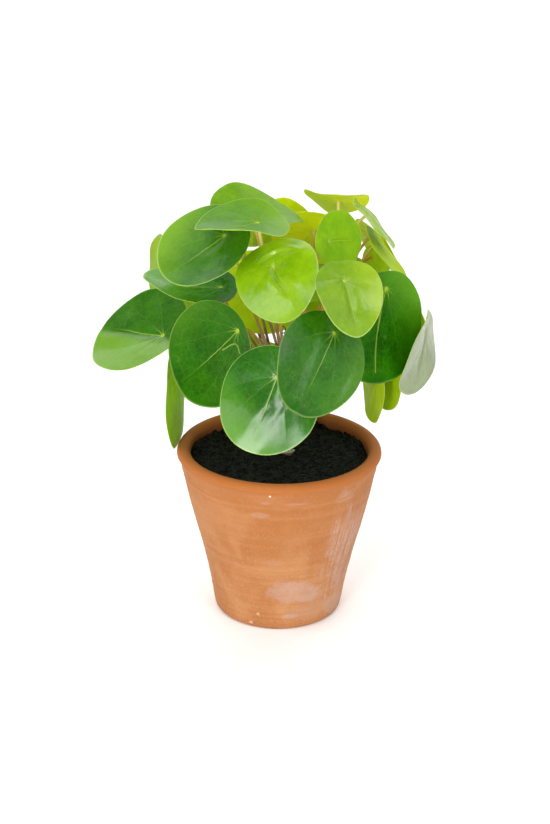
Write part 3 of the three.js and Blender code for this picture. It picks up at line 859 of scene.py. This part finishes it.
# %% Trunk and stalk meshes
def trunk_tube():
    """The trunk as a tube whose radius swells at old leaf scars, one every 5 mm or so."""
    z = np.linspace(TRUNK_BOTTOM_Z, TRUNK_TOP_Z, TRUNK_ROWS)
    share = np.clip((z - SOIL_LEVEL) / (TRUNK_TOP_Z - SOIL_LEVEL), 0, 1)
    scars = 0.28 * np.abs(np.sin(z * 0.62 + 0.9 * np.sin(z * 0.23))) ** 6
    radius = TRUNK_RADIUS * (1 - (1 - TRUNK_TAPER) * share) - 0.25 + scars
    radius[-6:] *= np.sqrt(1 - np.linspace(0, 0.97, 6) ** 2)
    points, faces = tube(trunk_axis(z), radius, TRUNK_SIDES)
    axis = trunk_axis(points[:, 2])
    away = points - axis
    lumps = 1 + 0.07 * field(points, 4.5, 31, 2)
    return axis + away * lumps[:, None], faces


stem_points, stem_faces = trunk_tube()
for leaf in LEAVES:
    path = stalk_path(leaf)
    points, faces = tube(path, stalk_radii(len(path)), STALK_SIDES)
    stem_faces += [face + len(stem_points) for face in faces]
    stem_points = np.concatenate([stem_points, points])
stems = make_piece("trunk_with_stalks", stem_points, stem_faces, "stalk", "trunk_and_stalks")
print("stems", len(LEAVES), "faces", len(stems.data.polygons))

# %% Stalk finish
def bark():
    """Mauve brown, orange straw from 200 mm up, pale straw at the top, and a dark foot.

    Patches shift the heights at which a tone begins, and fine streaks run lengthwise."""
    skin = Finish("stalk_skin")
    place = skin.place()
    patch = skin.noise(place, 70.0, 3.0)
    streak = skin.noise(skin.stretched(place, (700.0, 700.0, 60.0)), 1.0, 2.0)
    height = skin.add("SeparateXYZ", Vector=place).outputs["Z"]
    shifted = skin.math("ADD", height, skin.times(patch, 30 * MM))
    body = skin.coats(
        linear(146, 104, 80),
        (patch, 0.35, 0.65, 0.0, 1.0, (178, 136, 106)),
        (streak, 0.45, 0.75, 0.0, 0.5, (200, 168, 122)),
        (shifted, 200 * MM, 225 * MM, 0.0, 0.85, (196, 150, 40)),
        (shifted, 245 * MM, 275 * MM, 0.0, 0.85, (238, 218, 132)),
        (height, 128 * MM, 150 * MM, 0.75, 0.0, (94, 76, 52)),
    )
    return skin.surface(skin.glossy(body, 0.5, 0.3, Normal=skin.bump(streak, 0.08)))


stems.data.materials.append(bark())
print("stalk finish on", stems.name)

# %% [markdown]
# One stalk in front carries a small dark ring: a dry shoot that curled up. It is
# a thin tube along most of an oval, and both its ends sink into the stalk.

# %% Dry curl
CURL_STALK = "centre_bright"
CURL_HEIGHT = 198.3
CURL_HALF_SIZES = (1.3, 2.2)
CURL_TUBE = 0.33
CURL_OFFSET = 1.25
CURL_STEPS = 40
CURL_SIDES = 10


def curl_points():
    """A tube along an oval on the stalk's right side, open for a sixth of its way.

    A point lies to the right by CURL_OFFSET + half width * cos angle and up by half
    height * sin angle."""
    carrier = next(leaf for leaf in LEAVES if leaf["name"] == CURL_STALK)
    line = stalk_path(carrier)
    middle = [np.interp(CURL_HEIGHT, line[:, 2], line[:, axis]) for axis in range(3)]
    angle = np.radians(np.linspace(-150, 150, CURL_STEPS))
    wide, tall = CURL_HALF_SIZES
    right = CURL_OFFSET + wide * np.cos(angle)
    oval = np.stack([right, -0.25 * np.cos(angle), tall * np.sin(angle)], -1)
    return tube(middle + oval, CURL_TUBE * (1 + 0.2 * np.sin(5 * angle)), CURL_SIDES)


curl = make_piece("dry_curl", *curl_points(), slot="stalk")
dry = Finish("curl_dry")
speckle = dry.noise(dry.place(), 900.0)
dry_tone = dry.coats(linear(40, 34, 46), (speckle, 0.35, 0.65, 0.0, 1.0, (72, 62, 70)))
dry_shine = dry.glossy(dry_tone, 0.55, Normal=dry.bump(speckle, 0.05))
curl.data.materials.append(dry.surface(dry_shine))
print("curl faces", len(curl.data.polygons))

# %% [markdown]
# ## The blades
#
# A blade is a shallow shell with veins that leave the hub like spokes and bend
# towards the tip. The grid's columns run along those veins, with more columns
# close beside each one, so that a groove above and a rib below are real shapes
# and not paint. The rows run from the hub to the margin, where both faces bend
# round a small half circle and meet.

# %% Grid of a blade
VEINS = 9
VEIN_COLUMNS = np.array([0.0, 0.05, 0.12, 0.23, 0.36, 0.5, 0.64, 0.77, 0.88, 0.95])
VEIN_SWEEP = 0.20
MARGIN_WAVE = 0.5
MARGIN_WAVES = 5
LIP = 0.30


def blade_grid(leaf, seed):
    """Phase, reach and angle of every point of a blade.

    Phase counts the veins and is whole on a vein. Reach runs from 0 at the hub to 1
    at the margin, with rows crowded at both. The angle at the margin runs evenly
    through the veins, each shifted by a small random share. Towards the hub it
    opens away from the tip by VEIN_SWEEP times its sine."""
    draw = np.random.default_rng(seed)
    shift = draw.uniform(-0.12, 0.12, VEINS)
    shift[0] = 0
    spokes = np.append(2 * np.pi * (np.arange(VEINS) + shift) / VEINS, 2 * np.pi)
    phase = (np.arange(VEINS)[:, None] + VEIN_COLUMNS).ravel()
    at_margin = np.interp(phase, np.arange(VEINS + 1), spokes)
    lip = LIP / (leaf["size"][0] / 2)
    inner = np.concatenate([np.linspace(0.015, 0.12, 8), np.linspace(0.16, 0.95, 22)])
    reach = np.concatenate([inner, 1 - lip + lip * np.sin(np.linspace(0, np.pi / 2, 6))])[:, None]
    angle = at_margin + VEIN_SWEEP * np.sin(at_margin) * (1 - reach)
    return phase, reach, angle


# %% [markdown]
# The photograph shows single creases on some blades: a furrow from the hub of
# the bright one, wrinkles round it, and a sharp kink in the low front one whose
# lower part catches the window. Their places are in mm on the blade: along the
# tip direction and across it, from the hub.

# %% Creases and kinks
CREASES = {
    # start, end, rise, half width, and how far the middle bows to the side
    "centre_bright": [
        ((0.5, -0.5), (22, 0.3), -1.7, 1.5, -1.5),
        ((4, 4.5), (23, 7), 1.2, 3.4, -1.0),
        ((-6, -9), (-1, 17.5), 0.8, 1.3, 5.6),
        ((-3.5, -8), (0.5, 15), -0.6, 1.2, 4.6),
        ((-0.7, 4.5), (0.7, 14), 0.5, 0.9, 1.5),
        ((3, -4), (16, -5), 0.6, 1.8, -1.0),
    ],
    "front_low": [((12, 10), (30, 4), 0.35, 1.2, 0.0), ((16, 3), (33, -4), -0.30, 1.4, 0.0)],
    "right_pale": [((0, 0), (24, -1), -1.1, 2.4, 0.0), ((4, 5), (24, 7), 0.8, 3.5, 0.0)],
    "right_small": [((0.5, 0), (22, -1), -0.9, 1.2, 0.3), ((3, 3), (20, 3), 0.4, 2.0, 0.0)],
    "left_shaded": [
        ((-7, -4), (5, -9), 0.9, 1.0, 1.0),
        ((-7, 2), (4, 4), 0.7, 0.9, -1.0),
        ((-3, -7), (-1, 6), -0.8, 1.2, 0.5),
    ],
    "left_centre": [((20, 1), (7, 5), 0.45, 0.8, 0.6), ((7, 5), (7.5, 12), 0.45, 0.8, 0.0)],
    "front_right": [((-4, -6.8), (60, 1), 1.1, 3.0, 0.0), ((8, 22.5), (40, 22.5), 1.1, 3.0, 0.0)],
    "upper_left": [((1, 1), (16, 3), -0.7, 1.8, 0.0), ((5, 6), (14, 8), 0.35, 1.0, 0.0)],
    "left_wide": [((0, 0), (52, 3), -0.7, 1.6, 0.0)],
    "right_wide": [((0, 0), (54, 8), -0.7, 1.5, -1.0)],
    "far_right": [((0, 0), (28, 3), -0.6, 1.5, 0.0)],
    "top_left_front": [((0, 0), (14, 1), -0.5, 1.4, 0.0)],
}
KINKS = {
    # a point of the line, its direction, the slope beyond it on the left, and its softness
    "front_low": [
        ((9, 3), (0.96, -0.28), -0.20, 0.8),
        ((12, 13), (0.97, -0.22), 0.20, 3.0),
        ((25, -2), (0.0, -1.0), 0.15, 1.2),
    ],
}


def ridge(along, across, start, end, rise, wide, bow):
    """Height of a crease: a bowed line with a bell-shaped section that fades at its ends."""
    run = np.subtract(end, start)
    length = np.linalg.norm(run)
    run = run / length
    x, y = along - start[0], across - start[1]
    t = np.clip((x * run[0] + y * run[1]) / length, -0.3, 1.3)
    off = x * -run[1] + y * run[0] - bow * 4 * t * (1 - t)
    ends = smooth_step(t, -0.12, 0.15) * (1 - smooth_step(t, 0.80, 1.15))
    return rise * ends * np.exp(-((off / wide) ** 2))


def kink(along, across, point, run, slope, soft):
    """Height of a bend: none on one side of a line, slope times the distance on its left side."""
    off = (across - point[1]) * run[0] - (along - point[0]) * run[1]
    return slope * (off + np.sqrt(off * off + soft * soft)) / 2


# %% Relief of a blade
def blade_relief(leaf, seed, phase, reach, angle, along, across):
    """Height of the upper face over the hub's plane in mm, and of the ribs below.

    A bowl, a fold, a droop, a twist and a waved margin give the broad form. Slow
    unevenness, a dimple at the hub, grooves over the veins, a swell between them
    and single creases are added."""
    u = along / (leaf["size"][0] / 2)
    v = across / (leaf["size"][1] / 2)
    fold = np.where(v > 0, *leaf["fold"])
    height = leaf["cup"] * (u * u + v * v) + fold * (np.sqrt(v * v + 0.0025) - 0.05)
    height += leaf["twist"] * u * v - leaf["droop"] * np.maximum(u, 0) ** 2
    height += MARGIN_WAVE * np.sin(MARGIN_WAVES * angle + leaf["turn"]) * reach**3

    spot = np.stack([along, across, 0 * along], -1)
    rim = np.hypot(along, across)
    height += 0.60 * field(spot, 18, seed) * smooth_step(rim, 2, 14)
    height += 0.10 * field(spot, 6, seed + 7) * smooth_step(rim, 3, 12)
    height -= 0.75 * np.exp(-((rim / 2.3) ** 2))
    share = phase - np.floor(phase)
    beside = np.minimum(share, 1 - share) * 2 * np.pi / VEINS * rim
    open_blade = smooth_step(rim, 2.0, 9.0) * (1 - smooth_step(reach, 0.55, 0.90))
    height -= 0.09 * np.exp(-((beside / 0.7) ** 2)) * open_blade
    height += 0.14 * np.sin(np.pi * share) ** 2 * np.sin(np.pi * np.clip(reach, 0, 1))
    for crease in CREASES.get(leaf["name"], ()):
        height += ridge(along, across, *crease)
    for bend in KINKS.get(leaf["name"], ()):
        height += kink(along, across, *bend)
    ribs = 0.24 * np.exp(-((beside / 0.6) ** 2)) * open_blade
    return height, ribs


# %% Blade meshes
HUB_THICKNESS = 0.75
THINNING = 0.35


def sector_map(phase, reach):
    """Phase and reach at every face corner. The last column runs on to VEINS, not back to 0."""
    left, right, level = phase, np.append(phase[1:], VEINS), reach.ravel()
    quad = np.empty((len(level) - 1, len(phase), 4, 2))
    quad[..., 0] = np.stack([left, left, right, right], -1)
    quad[..., 1] = np.stack([level[:-1], level[1:], level[1:], level[:-1]], -1)[:, None]
    quad = quad.reshape(-1, 4, 2)
    wedge = np.empty((len(phase), 3, 2))
    wedge[..., 0] = np.stack([left, left, right], -1)
    wedge[..., 1] = [0, level[0], level[0]]
    both = [quad, wedge, quad[:, ::-1], wedge[:, ::-1]]
    return np.concatenate([block.reshape(-1, 2) for block in both])


def blade_shell(leaf, seed):
    """Points, faces and UV maps of a closed blade.

    A point lies along the tip by reach * (half * (1 - 2 back) + half * cos angle),
    across by reach * half width * sin angle * (1 - egg * cos angle), and up by the
    relief. The lower face lies deeper by HUB_THICKNESS - THINNING * reach^2, and
    both meet at the margin in half a circle. Map sector holds phase and reach, map
    blade the flat place, and map tone a smooth step that says where painted light
    makes the skin paler, on the side that catches the light."""
    phase, reach, angle = blade_grid(leaf, seed)
    half, wide = leaf["size"][0] / 2, leaf["size"][1] / 2
    along = reach * (half * (1 - 2 * leaf["back"]) + half * np.cos(angle))
    across = reach * wide * np.sin(angle) * (1 - leaf["egg"] * np.cos(angle))
    height, ribs = blade_relief(leaf, seed, phase, reach, angle, along, across)
    lip = LIP / half
    round_off = 1 - np.sqrt(1 - np.clip((reach - 1 + lip) / lip, 0, 1) ** 2)
    thick = HUB_THICKNESS - THINNING * reach**2
    hub, tip, side, up = leaf_frame(leaf)
    flat = hub + along[..., None] * tip + across[..., None] * side
    top = flat + (height - 0.5 * thick * round_off)[..., None] * up
    low = flat + (height - thick + 0.5 * thick * round_off - ribs)[..., None] * up
    centres = [hub - HUB_THICKNESS * up, hub - 2 * HUB_THICKNESS * up]
    points = np.concatenate([top.reshape(-1, 3), low[:-1].reshape(-1, 3), centres])

    rows, columns = along.shape
    count = rows * columns
    upper = grid_quads(rows, columns)
    lower = np.where(upper < count - columns, upper + count, upper)
    centre = len(points) - 1
    blocks = [
        upper,
        fan(centre - 1, np.arange(columns)),
        lower[:, ::-1],
        fan(centre, np.arange(columns) + count)[:, ::-1],
    ]

    def on_corners(first, second, at_hub):
        """Two values for each upper point, given to the lower one too, at every face corner."""
        pairs = np.stack([first, second], -1).reshape(-1, 2)
        pairs = np.concatenate([pairs, pairs[:-columns], [at_hub, at_hub]])
        return np.concatenate([pairs[block].reshape(-1, 2) for block in blocks])

    # painted light: pale marks the side of the blade that catches the light and its reflection, and
    # makes it paler
    a, b, c = leaf["pale"]
    pale = smooth_step(a * along / half + b * across / wide + c, 0, 1)
    maps = {
        "sector": sector_map(phase, reach),
        "blade": on_corners(along / 100 + 0.5, across / 100 + 0.5, (0.5, 0.5)),
        "tone": on_corners(pale, 0 * pale, (pale[0, 0], 0)),
    }
    return points, blocks, maps

# %% [markdown]
# ## Leaf finishes
#
# The upper side is a glossy green with a fine pale net of veins and a pale rim.
# The lower side is duller and yellower, with the veins standing out. Light
# comes through a blade, so each side mixes a glossy shader with one that lets
# light through. One recipe serves all leaves, and a look sets its colours.

# %% Leaf finish
LOOKS = {
    # upper side: deep tone, light tone, roughness, reflection, rim; lower side: tone
    "deep": ((20, 80, 0), (42, 108, 2), 0.24, 0.08, 0.30, (160, 204, 0)),
    "rich": ((14, 78, 0), (38, 106, 2), 0.22, 0.32, 0.25, (160, 204, 0)),
    "night": ((6, 78, 0), (40, 118, 0), 0.26, 0.04, 0.25, (160, 204, 0)),
    "shade": ((6, 84, 0), (38, 124, 0), 0.22, 0.12, 0.60, (160, 204, 0)),
    "wet": ((14, 84, 0), (36, 110, 2), 0.15, 0.52, 0.50, (160, 204, 0)),
    "keel": ((22, 90, 0), (54, 120, 2), 0.20, 0.28, 0.40, (160, 204, 0)),
    "mid": ((26, 94, 0), (66, 128, 2), 0.24, 0.24, 0.60, (160, 206, 0)),
    "matt": ((60, 120, 2), (88, 144, 10), 0.36, 0.14, 0.60, (164, 206, 0)),
    "fresh": ((90, 140, 0), (120, 168, 4), 0.32, 0.06, 0.35, (164, 204, 0)),
    "pale": ((118, 150, 0), (144, 176, 2), 0.30, 0.08, 0.35, (192, 224, 0)),
    "blond": ((158, 190, 0), (180, 208, 2), 0.34, 0.02, 0.35, (192, 224, 0)),
    "sheen": ((132, 170, 0), (156, 190, 8), 0.24, 0.25, 0.35, (192, 224, 0)),
    # Painted reflection: the grey in the next look's tones stands in for the sheen of grazing
    # light; its strong gloss is real.
    "silver": ((104, 124, 66), (132, 146, 92), 0.10, 1.00, 0.30, (180, 210, 4)),
    "bright": ((110, 158, 0), (146, 184, 14), 0.16, 0.75, 0.45, (190, 224, 0)),
    "small": ((102, 154, 0), (130, 176, 0), 0.26, 0.12, 0.35, (190, 224, 0)),
    "lime": ((102, 142, 0), (130, 166, 8), 0.22, 0.50, 0.60, (200, 236, 0)),
    "leek": ((98, 140, 0), (124, 162, 4), 0.22, 0.50, 0.60, (200, 236, 0)),
    # Painted light: the next look's bright lower tone stands in for light coming through these back
    # blades; the shader also lets real light through.
    "glow": ((112, 150, 0), (144, 180, 10), 0.22, 0.50, 0.50, (228, 252, 0)),
    "olive": ((98, 138, 0), (124, 158, 4), 0.30, 0.30, 0.50, (158, 220, 0)),
}
LOOKS["knee"] = LOOKS["deep"]
MARKS = {
    # for a look: points in mm along and across the blade, joined by the pale lines drawn on it
    "knee": ((20, 2), (11.6, 3.4), (7.6, 5), (6.5, 7.4), (7.2, 12)),
    "night": ((5, -2), (24, -0.5), (51, 1.5)),
}
# Painted light: how far the light tone is raised on the lit side of a blade.
PAINTED_LIGHT_LIFT = (56, 40, 30)
VEIN_PALE = (184, 206, 90)
RIM_PALE = (186, 206, 110)
HUB_PALE = (184, 208, 50)
LIGHT_THROUGH = (196, 220, 0)
UNDER_FAIRER = 26
UNDER_GLOSS = 0.46
UNDER_REFLECTION = 0.08
UPPER_VEINS, UNDER_VEINS = (0.34, 0.55), (0.60, 0.40)
UPPER_THROUGH, UNDER_THROUGH = 0.15, 0.22


def mark_line(leaf, flat, start, end):
    """0.9 on a straight line of the blade, 0 from 0.6 mm beside it, with round ends.

    The nearest point of the line lies at a share of its run: the dot product with
    the run over its length squared, held to 0 to 1."""
    start = np.array([*start, 0]) / 100
    run = np.array([*end, 0]) / 100 - start
    from_start = leaf.vector("SUBTRACT", flat, start + [0.5, 0.5, 0]).outputs[0]
    share = leaf.vector("DOT_PRODUCT", from_start, run / (run @ run)).outputs["Value"]
    share = leaf.math("MINIMUM", leaf.most(share, 0.0), 1.0)
    nearest = leaf.vector("SCALE", run)
    leaf.put(nearest.inputs["Scale"], share)
    off = leaf.vector("DISTANCE", from_start, nearest.outputs[0]).outputs["Value"]
    return leaf.band(off, 0.0010, 0.0062, 0.9, 0.0)


def vein_lines(leaf, wide, marks):
    """Strength of the drawn veins, from 0 to 1, and reach, out of the UV maps.

    Main veins lie where phase is whole. The midrib, at phase 0, stays pale for most
    of its way and the others only near the hub, as a star. Side veins are arches of
    reach between them, and the net is the borders of random cells. Marks are nearly
    as strong as the midrib."""
    sector = leaf.add("SeparateXYZ", Vector=leaf.uv("sector"))
    phase, reach = sector.outputs["X"], sector.outputs["Y"]
    flat = leaf.uv("blade")
    wander = leaf.math("SUBTRACT", leaf.noise(flat, 9.0, 2.0), 0.5)
    bent = leaf.math("ADD", phase, leaf.times(wander, 0.10))
    share = leaf.math("FRACT", bent)
    beside = leaf.math("MINIMUM", share, leaf.math("SUBTRACT", 1.0, share))
    beside = leaf.times(leaf.times(beside, reach), 21.0)
    from_tip = leaf.math("MINIMUM", bent, leaf.math("SUBTRACT", float(VEINS), bent))
    on_midrib = leaf.band(from_tip, 0.45, 0.55, 1.0, 0.0)
    fade = leaf.times(leaf.band(reach, 0.45, 0.80, 1.0, 0.15), on_midrib)
    fade = leaf.most(fade, leaf.band(reach, 0.06, 0.20, 1.0, 0.14))
    main = leaf.times(leaf.band(beside, 0.08, wide, 1.0, 0.0), fade)

    arch = leaf.math("SINE", leaf.times(share, math.pi))
    count = leaf.times(leaf.math("FLOOR", bent), 0.37)
    ladder = leaf.math("MULTIPLY_ADD", reach, 4.6, leaf.math("MULTIPLY_ADD", arch, -0.7, count))
    ladder = leaf.math("ADD", ladder, leaf.times(wander, 2.6))
    rung = leaf.math("ABSOLUTE", leaf.math("SUBTRACT", leaf.math("FRACT", ladder), 0.5))
    rung = leaf.band(rung, 0.008, 0.040, 0.16, 0.0)
    rung = leaf.times(rung, leaf.band(reach, 0.15, 0.35))

    cells = leaf.add(
        "TexVoronoi", {"feature": "DISTANCE_TO_EDGE", "voronoi_dimensions": "2D"},
        Vector=flat, Scale=26.0,
    )
    net = leaf.band(cells.outputs["Distance"], 0.010, 0.055, 0.17, 0.0)
    lines = leaf.most(main, leaf.most(rung, net))
    for start, end in zip(marks, marks[1:]):
        lines = leaf.most(lines, mark_line(leaf, flat, start, end))
    return leaf.times(lines, leaf.band(reach, 0.90, 0.97, 1.0, 0.0)), reach


def leaf_finish(name, deep, light, gloss, reflection, rim, veins, through, marks=()):
    """One side of a leaf: mottled tone, pale veins, rim and hub, gloss, and light let through.

    veins is how wide and how strong the drawn ones are. Where map tone is 1, the
    light tone is raised by PAINTED_LIGHT_LIFT."""
    leaf = Finish(name)
    place = leaf.place()
    lines, reach = vein_lines(leaf, veins[0], marks)
    cloud = leaf.noise(place, 60.0, 3.0, 0.6)
    grain = leaf.noise(place, 420.0, 3.0, 0.65)
    body = leaf.coats(
        linear(*deep),
        (cloud, 0.25, 0.75, 0.0, 1.0, light),
        (grain, 0.45, 0.70, 0.0, 0.40, light),
        (grain, 0.32, 0.50, 0.40, 0.0, deep),
    )
    # Painted light: where map tone is 1 the skin turns paler, standing in for the lit side and its
    # sheen.
    pale = leaf.add("SeparateXYZ", Vector=leaf.uv("tone")).outputs["X"]
    painted_lit_tone = np.minimum(255, np.add(light, PAINTED_LIGHT_LIFT))
    body = leaf.blend(leaf.times(pale, 0.85), body, linear(*painted_lit_tone))
    body = leaf.blend(leaf.times(lines, veins[1]), body, linear(*VEIN_PALE))
    body = leaf.coats(
        body,
        (reach, 0.978, 0.992, 0.0, rim, RIM_PALE),
        (reach, 0.015, 0.065, 0.7, 0.0, HUB_PALE),
    )
    fine = leaf.bump(grain, 0.02)
    normal = leaf.bump(leaf.math("SUBTRACT", 1.0, lines), 0.04, Normal=fine)
    rough = leaf.band(cloud, 0.2, 0.8, gloss, gloss + 0.10)
    shine = leaf.glossy(body, rough, reflection, Normal=normal)
    glow = leaf.blend(0.75, body, linear(*LIGHT_THROUGH))
    return leaf.surface(leaf.sheer(shine, glow, through, Normal=normal))


finishes = {}
for look, (deep, light, gloss, reflection, rim, under) in LOOKS.items():
    name = "leaf_" + look
    upper = leaf_finish(name + "_upper", deep, light, gloss, reflection, rim, UPPER_VEINS,
                        UPPER_THROUGH, MARKS.get(look, ()))
    fairer = np.minimum(255, np.add(under, UNDER_FAIRER))
    lower = leaf_finish(name + "_lower", under, fairer, UNDER_GLOSS, UNDER_REFLECTION, rim,
                        UNDER_VEINS, UNDER_THROUGH)
    finishes[look] = (upper, lower)
print("leaf looks", len(finishes))

# %% All blades
BRIGHT_LEAVES = (
    "centre_bright", "right_pale", "right_small", "top_right", "back_centre", "back_top",
    "right_upper_back", "far_left_pale", "low_left", "low_right", "low_right_back",
)
FIRST_SEED = 100
SEED_STEP = 13
blade_faces = 0
for number, leaf in enumerate(LEAVES):
    points, blocks, maps = blade_shell(leaf, FIRST_SEED + SEED_STEP * number)
    slot = "leaf_bright" if leaf["name"] in BRIGHT_LEAVES else "leaf"
    blade = make_piece("blade_" + leaf["name"], points, blocks, slot, "leaf_" + leaf["name"], maps)
    for finish in finishes[leaf["look"]]:
        blade.data.materials.append(finish)
    side = np.arange(len(blade.data.polygons)) >= len(blocks[0]) + len(blocks[1])
    blade.data.polygons.foreach_set("material_index", side.astype(np.int32))
    blade_faces += len(blade.data.polygons)
print("blades", len(LEAVES), "faces", blade_faces)

# %% [markdown]
# ## The dry scale
#
# A thin pale scale, left over from a leaf bud, curls round the front of the
# trunk's foot. It is a strip round the foot, higher in the middle, with a
# ragged upper edge, and light comes through it.

# %% Dry scale
scale_low, scale_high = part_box("pale_scale")
SCALE_BASE = scale_low.z / MM
SCALE_RISE = (scale_high.z - scale_low.z) / MM
SCALE_STEPS = 60
SCALE_SIDES = 24


def scale_points():
    """A closed strip: its section is an oval 0.5 mm thick, carried round an arc of 150 degrees."""
    turn = np.radians(np.linspace(-75, 75, SCALE_STEPS) - 90)[:, None]
    t = np.linspace(0, 1, SCALE_STEPS)[:, None]
    section = full_turn(SCALE_SIDES)
    ragged = 0.35 + 0.6 * np.sin(np.pi * t) + 0.10 * np.sin(23 * t + 1) * np.sin(np.pi * t)
    rise = SCALE_RISE * ragged * (0.5 + 0.5 * np.sin(section))
    wall = TRUNK_RADIUS + GAP + 0.4 + 0.8 * rise / SCALE_RISE + 0.25 * np.cos(section)
    wall = wall + 0.15 * np.sin(9 * t)
    x, y = TRUNK_FOOT[0] + wall * np.cos(turn), TRUNK_FOOT[1] + wall * np.sin(turn)
    return np.stack([x, y, SCALE_BASE + rise], -1)


strip = scale_points()
ends = strip[0].mean(0), strip[-1].mean(0)
scale = make_piece("dry_scale", *capped(strip, *ends), slot="pale_scale", stands_for="pale_scale")


def papery():
    """Pale, thin and streaked, with half of the light let through."""
    skin = Finish("scale_papery")
    streak = skin.noise(skin.stretched(skin.place(), (900.0, 900.0, 200.0)), 1.0)
    body = skin.coats(linear(196, 200, 184), (streak, 0.35, 0.65, 0.0, 1.0, (236, 238, 230)))
    return skin.surface(skin.sheer(skin.glossy(body, 0.4), body, 0.5))


scale.data.materials.append(papery())
print("scale rise in mm", round(SCALE_RISE, 2))
